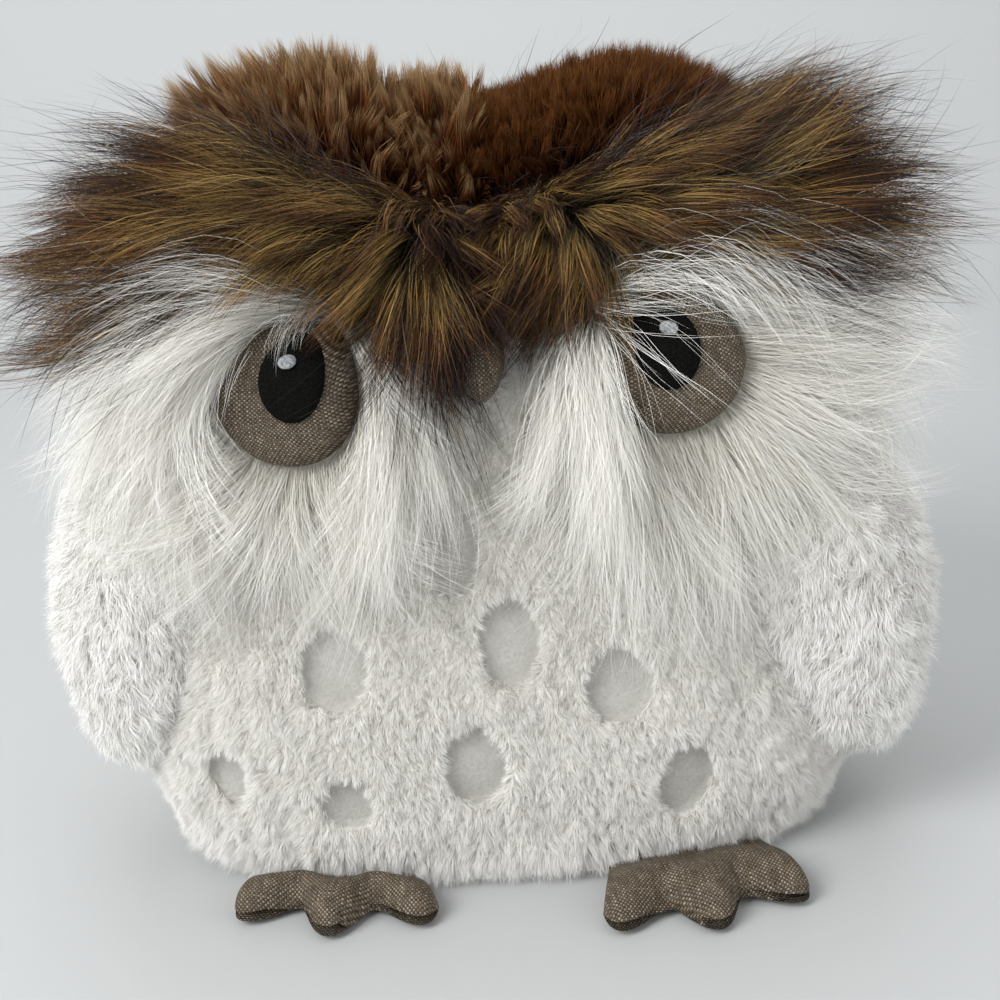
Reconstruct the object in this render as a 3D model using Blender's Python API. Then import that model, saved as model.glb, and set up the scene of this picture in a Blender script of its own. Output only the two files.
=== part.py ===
"""A stuffed owl of fur fabric and linen, built as the pieces it is sewn from.

The owl sits on the origin and faces -Y, so its own left side is at +X. Head and body are one
boxy form, the skin. Every other piece is laid on that skin: its place is a bearing round the
body, a height, and how far it stands out from the skin.
"""

from math import atan2, cos, hypot, pi, radians, sin

import bmesh
import bpy
from mathutils import Vector

# Heights on the owl, as shares of the body's height
WIDEST_SHARE = 0.4506
BELLY_SHARE, BELLY_RISE_SHARE = 0.249, 0.300
HEAD_SHARE, HEAD_RISE_SHARE = 0.738, 0.223
CROWN_SEAM_SHARE = 0.940
EYE_SHARE, EYE_HALF_SHARE = 0.7160, 0.0920
PATCH_SHARE, PATCH_HALF_SHARE = 0.6900, 0.1373
PUPIL_SHARE, PUPIL_HALF_SHARE = 0.7394, 0.0515
GLINT_SHARE = 0.7631
BEAK_SHARE, BEAK_HALF_SHARE = 0.7430, 0.0494
BROW_V_SHARE = 0.7960
WING_SEAM_SHARE, WING_LENGTH_SHARE = 0.5923, 0.440

# Body and head, one form over the backing cloth
BODY_WIDTH = 0.220
BODY_FRONT_DEPTH = 0.078
BODY_BACK_DEPTH = 0.070
BODY_HEIGHT = 0.233
BODY_WIDEST_HEIGHT = WIDEST_SHARE * BODY_HEIGHT
BODY_UNDER_FLOOR = 0.031
BODY_LOW_REACH = BODY_WIDEST_HEIGHT + BODY_UNDER_FLOOR
PLAN_SQUARENESS = 3.4
LOW_SQUARENESS = 4.5
HIGH_SQUARENESS = 3.2
BELLY_SWELL = 0.005
BELLY_HEIGHT = BELLY_SHARE * BODY_HEIGHT
BELLY_RISE = BELLY_RISE_SHARE * BODY_HEIGHT
HEAD_SWELL = 0.003
HEAD_HEIGHT = HEAD_SHARE * BODY_HEIGHT
HEAD_RISE = HEAD_RISE_SHARE * BODY_HEIGHT
CROWN_DIP = 0.012
CROWN_DIP_HALF_WIDTH = 0.062

# How square a padded section is, a pad from its middle out, and a foot from side to side
SECTION_SQUARENESS = 2.5
PAD_SQUARENESS = 4.0
FOOT_SQUARENESS = 5.0

# Cloth, piles and the gaps between sewn pieces
PANEL_THICKNESS = 0.004
BASE_THICKNESS = 0.003
CROWN_PILE = 0.010
CROWN_PILE_RUN = 0.030
CROWN_RIM_SHARE = 0.35
CROWN_SEAM_HEIGHT = CROWN_SEAM_SHARE * BODY_HEIGHT
SEAT_GAP = 0.0004
LAYER_GAP = 0.0006

# Filling and the pouch of pellets under it
PELLET_HEIGHT = 0.026
PELLET_EDGE_ROUND = 0.009
PELLET_INSET = 0.004

# Face, by bearing from straight ahead and height over the floor
EYE_BEARING = radians(31.6)
EYE_HEIGHT = EYE_SHARE * BODY_HEIGHT
EYE_HALF_WIDTH = 0.0173
EYE_HALF_HEIGHT = EYE_HALF_SHARE * BODY_HEIGHT
EYE_THICKNESS = 0.0060
PATCH_BEARING = radians(37.0)
PATCH_HEIGHT = PATCH_SHARE * BODY_HEIGHT
PATCH_HALF_WIDTH = 0.036
PATCH_HALF_HEIGHT = PATCH_HALF_SHARE * BODY_HEIGHT
PATCH_THICKNESS = 0.0075
PATCH_HANG_SHARE = 1.75
PATCH_LEAN = 0.020
PUPIL_BEARING = radians(29.3)
PUPIL_HEIGHT = PUPIL_SHARE * BODY_HEIGHT
PUPIL_HALF_WIDTH = 0.0072
PUPIL_HALF_HEIGHT = PUPIL_HALF_SHARE * BODY_HEIGHT
PUPIL_THICKNESS = 0.0018
GLINT_HEIGHT = GLINT_SHARE * BODY_HEIGHT
GLINT_HALF_WIDTH = 0.0019
GLINT_THICKNESS = 0.0010
BEAK_HEIGHT = BEAK_SHARE * BODY_HEIGHT
BEAK_HALF_WIDTH = 0.0085
BEAK_HALF_HEIGHT = BEAK_HALF_SHARE * BODY_HEIGHT
BEAK_THICKNESS = 0.0120
BEAK_TAPER_SHARE = 0.42
LEFT_EYE_RISE = 0.002

# Brows: the fur's volume, sewn on just under the crown's seam
BROW_SEAM_GAP = 0.0015
BROW_TOP_HEIGHT = CROWN_SEAM_HEIGHT - BROW_SEAM_GAP
BROW_V_HEIGHT = BROW_V_SHARE * BODY_HEIGHT
BROW_REACH = 0.041
BROW_THICKNESS = 0.026
BROW_RISE = 0.020
BROW_LEAN_SHARE = 0.30
BROW_END_BEARING = radians(68.0)
BROW_CENTRE_GAP = 0.0006

# Wings, sacks that hang from the seam along their top edge
LEFT_WING_BEARING = radians(58.0)
LEFT_WING_TILT = radians(11.0)
RIGHT_WING_BEARING = radians(68.0)
RIGHT_WING_TILT = radians(5.0)
WING_SEAM_HEIGHT = WING_SEAM_SHARE * BODY_HEIGHT
WING_LENGTH = WING_LENGTH_SHARE * BODY_HEIGHT
WING_WIDTH = 0.068
WING_THICKNESS = 0.023
WING_CLOTH = 0.0024
WING_SEAT_GAP = 0.0009
LEFT_WING_DROP = 0.008

# Feet, sacks with three toes that lie on the floor
FOOT_BEARING = radians(35.8)
FOOT_TURN_OUT = radians(9.0)
FOOT_ROOT_WIDTH = 0.050
FOOT_ROOT_HEIGHT = 0.0070
LEFT_FOOT_LENGTH = 0.041
RIGHT_FOOT_LENGTH = 0.030
FOOT_NOTCH_DEPTH = 0.013
FOOT_FAN_REACH = 0.060
FOOT_FAN_ANGLE = radians(36.0)
FOOT_THICKNESS = 0.0135
FOOT_CLOTH = 0.0014
FOOT_FLOOR_CLEARANCE = 0.0005

# Shares along the brow: way along, low edge, thickness, lift off the skin, rise of its outside
BROW_SHARES = (
    (0.00, 0.00, 0.62, 0.00, 0.00),
    (0.12, 0.06, 0.76, 0.00, 0.05),
    (0.30, 0.26, 0.90, 0.00, 0.25),
    (0.48, 0.42, 1.00, 0.00, 0.55),
    (0.64, 0.38, 1.10, 0.02, 0.85),
    (0.78, 0.16, 1.16, 0.14, 1.00),
    (0.89, -0.10, 1.06, 0.36, 1.00),
    (0.96, -0.18, 0.74, 0.60, 0.85),
    (1.00, -0.06, 0.34, 0.80, 0.65),
)
BROW_DROOP_SHARES = (
    (0.00, 0.00),
    (0.64, 0.00),
    (0.80, 0.04),
    (0.92, 0.12),
    (1.00, 0.28),
)

# Shares down the wing: way down, width, thickness
WING_SHARES = (
    (0.00, 0.50, 0.28),
    (0.05, 0.70, 0.60),
    (0.14, 0.88, 0.84),
    (0.30, 1.00, 0.98),
    (0.50, 0.99, 1.00),
    (0.68, 0.90, 0.92),
    (0.84, 0.72, 0.78),
    (0.94, 0.48, 0.60),
    (0.985, 0.25, 0.40),
)

# Shares across and along the foot
TOE_SHARE = 0.80
FOOT_ACROSS_SHARES = (1.0, 0.94, 0.80, 0.62, 0.42, 0.22, 0.0)
FOOT_ALONG_SHARES = (0.0, 0.16, 0.38, 0.60, 0.80, 0.93, 0.99)
FOOT_ROOT_SHARE = 0.40
FOOT_PLUMP_SHARE = 0.45
FOOT_NOTCH_THIN_SHARE = 0.30
FOOT_TOP_SHARE = 0.80

# Facets, and the turn that slopes are measured over
TURN_STEP = radians(0.5)
SMOOTH_ANGLE = radians(50.0)
PATCH_RINGS, PATCH_SPOKES = 6, 28
DISC_RINGS, DISC_SPOKES = 4, 24
PUPIL_RINGS, PUPIL_SPOKES = 3, 20
GLINT_RINGS, GLINT_SPOKES = 2, 10
BODY_SIDES = 44
PANEL_ROWS = 11
CROWN_ROWS = 5
BROW_STEPS = 14
ACROSS_STEPS = 8
WING_STEPS = 11

# Colours, roughness
WHITE_PLUSH = ("white_plush", (0.86, 0.85, 0.83), 0.95)
WHITE_LONG_FUR = ("white_long_fur", (0.84, 0.83, 0.80), 0.85)
CHESTNUT_PILE = ("chestnut_pile", (0.25, 0.09, 0.03), 0.90)
BROWN_FUR = ("brown_long_fur", (0.15, 0.10, 0.055), 0.80)
LINEN = ("taupe_linen", (0.23, 0.17, 0.12), 0.80)
BLACK_FELT = ("black_felt", (0.012, 0.011, 0.012), 0.90)
THREAD = ("glint_thread", (0.55, 0.56, 0.58), 0.60)
FIBRE = ("polyester_fibre", (0.90, 0.90, 0.90), 1.00)
COTTON = ("pouch_cotton", (0.72, 0.68, 0.60), 0.95)
BASE_PLUSH = ("base_plush", (0.80, 0.79, 0.77), 0.95)


def clear_scene():
    """Take away whatever the file opened with."""
    for thing in list(bpy.data.objects):
        bpy.data.objects.remove(thing, do_unlink=True)


def material(finish):
    """The named Principled material, made once."""
    name, colour, roughness = finish
    found = bpy.data.materials.get(name)
    if found:
        return found
    made = bpy.data.materials.new(name)
    made.use_nodes = True
    shader = made.node_tree.nodes["Principled BSDF"]
    shader.inputs["Base Color"].default_value = (*colour, 1.0)
    shader.inputs["Roughness"].default_value = roughness
    shader.inputs["Metallic"].default_value = 0.0
    made.diffuse_color = (*colour, 1.0)
    return made


def add_object(name, points, faces, finish, pivot=Vector(), parent=None):
    """A closed mesh as a named object, with its origin on the pivot."""
    mesh = bpy.data.meshes.new(name)
    mesh.from_pydata([tuple(p - pivot) for p in points], [], faces)
    shape = bmesh.new()
    shape.from_mesh(mesh)
    bmesh.ops.recalc_face_normals(shape, faces=shape.faces)
    shape.to_mesh(mesh)
    shape.free()
    mesh.shade_smooth()
    mesh.set_sharp_from_angle(angle=SMOOTH_ANGLE)
    mesh.materials.append(material(finish))
    made = bpy.data.objects.new(name, mesh)
    bpy.context.collection.objects.link(made)
    if parent is None:
        made.location = pivot
    else:
        made.parent = parent
    return made


def blend(table, way):
    """The row of a table at a way along it, smooth through its stations."""
    last = len(table) - 1
    here = 0
    while here < last - 1 and way > table[here + 1][0]:
        here += 1
    before, start = table[max(here - 1, 0)], table[here]
    end, after = table[here + 1], table[min(here + 2, last)]
    span = end[0] - start[0]
    t = min(max((way - start[0]) / span, 0.0), 1.0)
    row = []
    for column in range(1, len(start)):
        rise_in = (end[column] - before[column]) / (end[0] - before[0]) * span
        rise_out = (after[column] - start[column]) / (after[0] - start[0]) * span
        row.append(
            (2 * t**3 - 3 * t**2 + 1) * start[column]
            + (t**3 - 2 * t**2 + t) * rise_in
            + (3 * t**2 - 2 * t**3) * end[column]
            + (t**3 - t**2) * rise_out
        )
    return row


def ease(t):
    """Zero to one with level ends."""
    t = min(max(t, 0.0), 1.0)
    return t * t * (3.0 - 2.0 * t)


def dome(share, square=SECTION_SQUARENESS):
    """Height of a padded section at a share of the way from its middle to its edge."""
    return max(1.0 - abs(share) ** square, 0.0) ** 0.5


# The skin


def height_reach(height, grow):
    """How far the skin reaches from its widest level to its pole, and how square it is."""
    if height >= BODY_WIDEST_HEIGHT:
        return BODY_HEIGHT - BODY_WIDEST_HEIGHT + grow, HIGH_SQUARENESS
    return BODY_LOW_REACH + grow, LOW_SQUARENESS


def level_share(height, grow):
    """The skin's width at a height, as a share of its widest."""
    reach, square = height_reach(height, grow)
    level = min(abs(height - BODY_WIDEST_HEIGHT) / reach, 1.0)
    return (1.0 - level**square) ** (1.0 / square)


def dip(x, height):
    """How far the crown sags between its two corners."""
    across = bump(x / CROWN_DIP_HALF_WIDTH)
    up = max((height - BODY_WIDEST_HEIGHT) / (BODY_HEIGHT - BODY_WIDEST_HEIGHT), 0.0)
    return CROWN_DIP * across * up**2


def bump(share):
    """One at zero, easing to nothing at one either way."""
    return max(1.0 - share * share, 0.0) ** 2


def swell(height):
    """How far belly and head bulge past the plain form, with a waist between them."""
    belly = BELLY_SWELL * bump((height - BELLY_HEIGHT) / BELLY_RISE)
    head = HEAD_SWELL * bump((height - HEAD_HEIGHT) / HEAD_RISE)
    return belly + head


def plan_point(bearing, grow):
    """A point of the skin's widest outline, seen from above."""
    depth = BODY_FRONT_DEPTH if cos(bearing) > 0.0 else BODY_BACK_DEPTH
    across = abs(sin(bearing)) / (BODY_WIDTH / 2 + grow)
    along = abs(cos(bearing)) / (depth + grow)
    reach = (across**PLAN_SQUARENESS + along**PLAN_SQUARENESS) ** (-1.0 / PLAN_SQUARENESS)
    return reach * sin(bearing), -reach * cos(bearing)


def skin(bearing, height, grow=0.0):
    """The skin's point at a bearing and height, moved out by grow."""
    share = level_share(height, grow)
    x, y = plan_point(bearing, grow + swell(height))
    return Vector((x * share, y * share, height - dip(x * share, height)))


def skin_along(bearing, height):
    """How the skin runs at a place, for each radian of bearing."""
    return (skin(bearing + TURN_STEP, height) - skin(bearing - TURN_STEP, height)) / (2 * TURN_STEP)


def skin_speed(bearing, height):
    """How many metres of skin go by for each radian of bearing."""
    return skin_along(bearing, height).length


def tell_hinge(name, pivot, bearing):
    """Print a sewn hinge: its middle, and the axis about which the piece lifts."""
    along = skin_along(bearing, pivot.z)
    axis = Vector((-along.x, -along.y, 0.0)).normalized()
    print(name, "hinge", [round(v, 6) for v in pivot], "axis", [round(v, 6) for v in axis])


# Builders of closed meshes


def ring_faces(lower, upper, count, closed=True):
    """Quads between two rings of points, given by their first indices."""
    steps = count if closed else count - 1
    return [
        (lower + i, lower + (i + 1) % count, upper + (i + 1) % count, upper + i)
        for i in range(steps)
    ]


def lens_end(first, count):
    """Faces that close a lens ring: its upper row meets its lower row."""
    half = count // 2
    faces = []
    for i in range(half):
        low_here, low_next = (count - i) % count, count - i - 1
        corners = [first + i, first + i + 1, first + low_next, first + low_here]
        faces.append(tuple(dict.fromkeys(corners)))
    return faces


def lens_loft(name, rings, finish, **place):
    """A solid through lens rings, closed at both ends."""
    count = len(rings[0])
    points = [p for ring in rings for p in ring]
    faces = []
    for row in range(len(rings) - 1):
        faces += ring_faces(row * count, (row + 1) * count, count)
    faces += lens_end(0, count)
    faces += lens_end((len(rings) - 1) * count, count)
    return add_object(name, points, faces, finish, **place)


def lens_sack(name, outer, inner, finish, **place):
    """A hollow sack through lens rings, open at its first ring."""
    count = len(outer[0])
    points = [p for ring in outer + inner for p in ring]
    inside = len(outer) * count
    faces = ring_faces(0, inside, count)
    for start, rows in ((0, len(outer)), (inside, len(inner))):
        for row in range(rows - 1):
            low = start + row * count
            faces += ring_faces(low, low + count, count)
        faces += lens_end(start + (rows - 1) * count, count)
    return add_object(name, points, faces, finish, **place)


def round_stack(name, rings, finish, pole=None):
    """A solid of stacked rings, flat underneath, ending in a flat top or a pole."""
    count = len(rings[0])
    points = [p for ring in rings for p in ring]
    faces = [tuple(range(count))]
    for row in range(len(rings) - 1):
        faces += ring_faces(row * count, (row + 1) * count, count)
    top = (len(rings) - 1) * count
    if pole is None:
        faces.append(tuple(range(top, top + count)))
    else:
        points.append(pole)
        faces += [(top + i, top + (i + 1) % count, len(points) - 1) for i in range(count)]
    return add_object(name, points, faces, finish)


def shell_sheet(name, outer, inner, finish):
    """A panel of cloth between an outer and an inner grid of the same rows and columns."""
    rows, columns = len(outer), len(outer[0])
    points = [p for grid in (outer, inner) for row in grid for p in row]
    inside = rows * columns
    faces = []
    for start in (0, inside):
        for row in range(rows - 1):
            low = start + row * columns
            faces += ring_faces(low, low + columns, columns, closed=False)
    for row in (0, rows - 1):
        faces += ring_faces(row * columns, inside + row * columns, columns, closed=False)
    for column in (0, columns - 1):
        for row in range(rows - 1):
            low = row * columns + column
            faces.append((low, low + columns, inside + low + columns, inside + low))
    return add_object(name, points, faces, finish)


def lens_ring(spot, floor, thickness, lean=0.0):
    """A padded section: spot(share) gives its bearing and height, from edge to edge."""
    shares = [-cos(pi * i / ACROSS_STEPS) for i in range(ACROSS_STEPS + 1)]
    ring = []
    for share in shares:
        leaned = share - lean * (1.0 - share * share)
        ring.append(skin(*spot(share), floor + thickness * dome(leaned)))
    for share in reversed(shares[1:-1]):
        ring.append(skin(*spot(share), floor))
    return ring


# Pads laid on the skin


class Spot:
    """A place on the skin with directions across and up, in metres.

    What lies here may hang longer below the place than above it, and bend inward there."""

    def __init__(self, bearing, height, side=1.0, hang=1.0, bend=0.0):
        self.bearing = bearing
        self.height = height
        self.side = side
        self.hang = hang
        self.bend = bend
        self.speed = skin_speed(bearing, height)

    def at(self, across, up):
        low = min(up, 0.0)
        inward = self.bend * low * low
        up += low * (self.hang - 1.0)
        return self.side * (self.bearing + (across - inward) / self.speed), self.height + up

    def reach(self, bearing, height, half_width, half_height):
        """How far a place lies from the middle of an oval, as a share of the oval."""
        up = height - self.height
        if up < 0.0:
            up /= self.hang
        low = min(up, 0.0)
        across = (self.side * bearing - self.bearing) * self.speed + self.bend * low * low
        return hypot(across / half_width, up / half_height)


def bare_skin(bearing, height):
    """The skin itself, which the first layer lies on."""
    return 0.0


def oval_top(spot, size, under):
    """The outer surface of an oval pad, as a distance from the skin."""
    half_width, half_height, thickness = size

    def top(bearing, height):
        share = min(spot.reach(bearing, height, half_width, half_height), 1.0)
        return under(bearing, height) + LAYER_GAP + thickness * dome(share, PAD_SQUARENESS)

    return top


def pad(name, spot, size, under, finish, rings, spokes, taper=0.0):
    """A padded oval whose back follows the layer under it, narrowed below by the taper."""
    half_width, half_height, thickness = size
    front, back = [], []
    for surface, plump in ((front, thickness), (back, 0.0)):
        bearing, height = spot.at(0.0, 0.0)
        surface.append([skin(bearing, height, under(bearing, height) + LAYER_GAP + plump)])
        for ring in range(1, rings + 1):
            share = sin(pi / 2 * ring / rings)
            row = []
            for spoke in range(spokes):
                angle = 2 * pi * spoke / spokes
                narrow = 1.0 - taper * (1.0 - sin(angle)) / 2
                across = half_width * share * cos(angle) * narrow
                bearing, height = spot.at(across, half_height * share * sin(angle))
                grow = under(bearing, height) + LAYER_GAP + plump * dome(share, PAD_SQUARENESS)
                row.append(skin(bearing, height, grow))
            surface.append(row)
    rim = 1 + (rings - 1) * spokes
    hub = 1 + rings * spokes
    points = [p for surface in (front, back[:-1]) for row in surface for p in row]
    faces = []
    for first, last in ((0, rim), (hub, rim)):
        starts = [first + 1 + ring * spokes for ring in range(rings - 1)] + [last]
        faces += [(first, starts[0] + i, starts[0] + (i + 1) % spokes) for i in range(spokes)]
        for low, high in zip(starts, starts[1:]):
            faces += ring_faces(low, high, spokes)
    return add_object(name, points, faces, finish)


# Body


def body_bearings():
    """Bearings of the body's columns, all the way round from its right side."""
    return [2 * pi * i / BODY_SIDES - pi / 2 for i in range(BODY_SIDES)]


def panel_heights():
    """Heights of the rows of the front and back panels, closer where the skin turns in."""
    low = BASE_THICKNESS + SEAT_GAP
    high = CROWN_SEAM_HEIGHT - SEAT_GAP
    middle = (low + high) / 2
    reach = (high - low) / 2
    return [middle - reach * cos(pi * i / PANEL_ROWS) for i in range(PANEL_ROWS + 1)]


def body_panel(name, first, finish):
    """Half of the body's skin, from one side seam to the other."""
    bearings = [first + pi * i * 2 / BODY_SIDES for i in range(BODY_SIDES // 2 + 1)]
    heights = panel_heights()

    def grid(grow):
        rows = []
        for height in heights:
            seam = SEAT_GAP / skin_speed(first, height)
            ends = [bearings[0] + seam, *bearings[1:-1], bearings[-1] - seam]
            rows.append([skin(b, height, grow) for b in ends])
        return rows

    return shell_sheet(name, grid(0.0), grid(-PANEL_THICKNESS), finish)


def crown_height(row, grow):
    """Height of a row of the crown, from its seam to just short of its pole."""
    reach, square = height_reach(BODY_WIDEST_HEIGHT, grow)
    seam_level = (CROWN_SEAM_HEIGHT + SEAT_GAP - BODY_WIDEST_HEIGHT) / reach
    start = atan2(seam_level ** (square / 2), (1 - seam_level**square) ** 0.5)
    climb = start + (pi / 2 - start) * row / CROWN_ROWS
    return BODY_WIDEST_HEIGHT + reach * sin(climb) ** (2.0 / square)


def crown_grow(height):
    """How far the crown's pile stands out: it rises from the seam to its full depth."""
    return CROWN_PILE * ease(CROWN_RIM_SHARE + (height - CROWN_SEAM_HEIGHT) / CROWN_PILE_RUN)


def crown_panel():
    """The cap of dense pile on the head, hollow over the filling."""
    outer, inner = [], []
    for row in range(CROWN_ROWS):
        grow = crown_grow(crown_height(row, 0.0))
        outer.append([skin(b, crown_height(row, grow), grow) for b in body_bearings()])
        inside = crown_height(row, -PANEL_THICKNESS)
        inner.append([skin(b, inside, -PANEL_THICKNESS) for b in body_bearings()])
    count = BODY_SIDES
    points = [p for rows in (outer, inner) for row in rows for p in row]
    inside = len(outer) * count
    faces = ring_faces(0, inside, count)
    for start in (0, inside):
        for row in range(CROWN_ROWS - 1):
            low = start + row * count
            faces += ring_faces(low, low + count, count)
    for start, grow in ((0, CROWN_PILE), (inside, -PANEL_THICKNESS)):
        points.append(Vector((0.0, 0.0, BODY_HEIGHT + grow - dip(0.0, BODY_HEIGHT + grow))))
        top = start + (CROWN_ROWS - 1) * count
        faces += [(top + i, top + (i + 1) % count, len(points) - 1) for i in range(count)]
    return add_object("crown_panel", points, faces, CHESTNUT_PILE)


def base_panel():
    """The flat underside that the owl sits on."""
    rings = [
        [skin_flat(b, BASE_THICKNESS + SEAT_GAP, 0.0, height) for b in body_bearings()]
        for height in (0.0, BASE_THICKNESS)
    ]
    return round_stack("base_panel", rings, BASE_PLUSH)


def skin_flat(bearing, height, grow, level):
    """The skin's outline at one height, laid at another level."""
    point = skin(bearing, height, grow)
    return Vector((point.x, point.y, level))


def pellet_pouch():
    """A pouch of pellets on the base panel, with a rounded upper edge."""
    low = BASE_THICKNESS + SEAT_GAP
    inset = PANEL_THICKNESS + PELLET_INSET
    rings = []
    for level, draw in (
        (low, inset + PELLET_EDGE_ROUND / 2),
        (low + PELLET_EDGE_ROUND / 2, inset),
        (PELLET_HEIGHT - PELLET_EDGE_ROUND, inset),
        (PELLET_HEIGHT - PELLET_EDGE_ROUND / 3, inset + PELLET_EDGE_ROUND / 3),
        (PELLET_HEIGHT, inset + PELLET_EDGE_ROUND),
    ):
        rings.append([skin_flat(b, low, -draw, level) for b in body_bearings()])
    return round_stack("pellet_pouch", rings, COTTON)


def body_filling():
    """The fibre that fills head and body, from the pouch up to the crown."""
    grow = -PANEL_THICKNESS - LAYER_GAP
    low = PELLET_HEIGHT + SEAT_GAP
    heights = [low] + [h for h in panel_heights()[1:-1] if h > low + PELLET_EDGE_ROUND]
    heights += [crown_height(row, grow) for row in range(CROWN_ROWS)]
    rings = [[skin(b, height, grow) for b in body_bearings()] for height in heights]
    pole = Vector((0.0, 0.0, BODY_HEIGHT + grow - dip(0.0, BODY_HEIGHT + grow)))
    return round_stack("body_filling", rings, FIBRE, pole)


# Face


def eye(side, word, rise):
    """Face patch with its hanging fur, eye disc, pupil and glint, each laid on the one before."""
    fall = (PATCH_HANG_SHARE, PATCH_LEAN / PATCH_HALF_HEIGHT**2)
    layers = (
        ("face_patch", PATCH_BEARING, PATCH_HEIGHT, WHITE_LONG_FUR, PATCH_RINGS, PATCH_SPOKES,
         (PATCH_HALF_WIDTH, PATCH_HALF_HEIGHT, PATCH_THICKNESS), fall),
        ("eye_disc", EYE_BEARING, EYE_HEIGHT, LINEN, DISC_RINGS, DISC_SPOKES,
         (EYE_HALF_WIDTH, EYE_HALF_HEIGHT, EYE_THICKNESS), ()),
        ("pupil", PUPIL_BEARING, PUPIL_HEIGHT, BLACK_FELT, PUPIL_RINGS, PUPIL_SPOKES,
         (PUPIL_HALF_WIDTH, PUPIL_HALF_HEIGHT, PUPIL_THICKNESS), ()),
        ("eye_glint", PUPIL_BEARING, GLINT_HEIGHT, THREAD, GLINT_RINGS, GLINT_SPOKES,
         (GLINT_HALF_WIDTH, GLINT_HALF_WIDTH, GLINT_THICKNESS), ()),
    )
    under = bare_skin
    for name, bearing, height, finish, rings, spokes, size, hang in layers:
        spot = Spot(bearing, height + rise, side, *hang)
        pad(f"{name}_{word}", spot, size, under, finish, rings, spokes)
        under = oval_top(spot, size, under)


def beak():
    """The stuffed beak, narrower at its tip."""
    size = (BEAK_HALF_WIDTH, BEAK_HALF_HEIGHT, BEAK_THICKNESS)
    spot = Spot(0.0, BEAK_HEIGHT)
    pad("beak", spot, size, bare_skin, LINEN, DISC_RINGS, PUPIL_SPOKES, BEAK_TAPER_SHARE)


def raised(point, ring, rise, lift_share):
    """A point of a brow's section, raised by how far it stands out of the section's seat."""
    out = [hypot(p.x, p.y) for p in ring]
    stand = (hypot(point.x, point.y) - min(out)) / (max(out) - min(out))
    return point + Vector((0.0, 0.0, rise * max(stand, min(2 * lift_share, 1.0))))


def brow(side, word):
    """One brow: it swells from the middle, arches over the eye and sweeps off the head."""
    start = BROW_CENTRE_GAP / (2 * BODY_FRONT_DEPTH)
    rings = []
    for step in range(BROW_STEPS + 1):
        way = sin(pi / 2 * step / BROW_STEPS)
        low_share, thick_share, lift_share, rise_share = blend(BROW_SHARES, way)
        (droop_share,) = blend(BROW_DROOP_SHARES, way)
        full = BROW_TOP_HEIGHT - BROW_V_HEIGHT
        high = BROW_TOP_HEIGHT - droop_share * full
        low = BROW_V_HEIGHT + low_share * full
        middle, half = (high + low) / 2, (high - low) / 2
        bearing = start + (BROW_END_BEARING - start) * way

        def spot(share, bearing=bearing, middle=middle, half=half):
            return side * bearing, middle + half * share

        floor = LAYER_GAP + lift_share * BROW_REACH
        ring = lens_ring(spot, floor, thick_share * BROW_THICKNESS, BROW_LEAN_SHARE)
        rings.append([raised(p, ring, rise_share * BROW_RISE, lift_share) for p in ring])
    return lens_loft(f"brow_{word}", rings, BROWN_FUR)


# Wings


def wing_rings(side, bearing, tilt, drop, inset):
    """Sections down a wing, each drawn in all round by the inset."""
    rings = []
    length = WING_LENGTH - inset
    for step in range(WING_STEPS):
        way = WING_SHARES[-1][0] * (0.5 - 0.5 * cos(pi * step / (WING_STEPS - 1)))
        width_share, thick_share = blend(WING_SHARES, way)
        half = max(WING_WIDTH / 2 * width_share - inset, inset)
        thickness = max(WING_THICKNESS * thick_share - 2 * inset, inset / 2)
        height = WING_SEAM_HEIGHT - drop - way * length
        middle = Spot(bearing + way * tilt, height, side)

        def spot(share, middle=middle, half=half):
            return middle.at(half * share, 0.0)

        rings.append(lens_ring(spot, WING_SEAT_GAP + inset, thickness))
    return rings


def wing(side, word, bearing, tilt, drop):
    """A wing's cover, open along its top seam, and the filling in it."""
    pivot = skin(side * bearing, WING_SEAM_HEIGHT - drop, WING_SEAT_GAP)
    outer = wing_rings(side, bearing, tilt, drop, 0.0)
    inner = wing_rings(side, bearing, tilt, drop, WING_CLOTH)
    cover = lens_sack(f"wing_{word}_cover", outer, inner, WHITE_PLUSH, pivot=pivot)
    core = wing_rings(side, bearing, tilt, drop, WING_CLOTH + SEAT_GAP)[1:]
    lens_loft(f"wing_{word}_filling", core, FIBRE, pivot=pivot, parent=cover)
    tell_hinge(f"wing_{word}", pivot, side * bearing)


# Feet


def toe_share(across):
    """One at the tip of each of the three toes, zero in the notches between them."""
    return abs(cos(pi * across / TOE_SHARE)) ** 1.5


def foot_puff(across, along):
    """A foot's thickness as a share: thin at its root, plump behind the toes, round at its rim."""
    if along < FOOT_PLUMP_SHARE:
        length = FOOT_ROOT_SHARE + (1 - FOOT_ROOT_SHARE) * ease(along / FOOT_PLUMP_SHARE)
    else:
        length = dome((along - FOOT_PLUMP_SHARE) / (1 - FOOT_PLUMP_SHARE))
    notch = FOOT_NOTCH_THIN_SHARE * (1.0 - toe_share(across)) * along
    return length * dome(across, FOOT_SQUARENESS) * (1.0 - notch)


def foot_middle(side):
    """The middle of a foot's root, on the seam under the belly."""
    point = skin(side * FOOT_BEARING, FOOT_ROOT_HEIGHT, LAYER_GAP)
    return Vector((point.x, point.y, 0.0))


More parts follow.
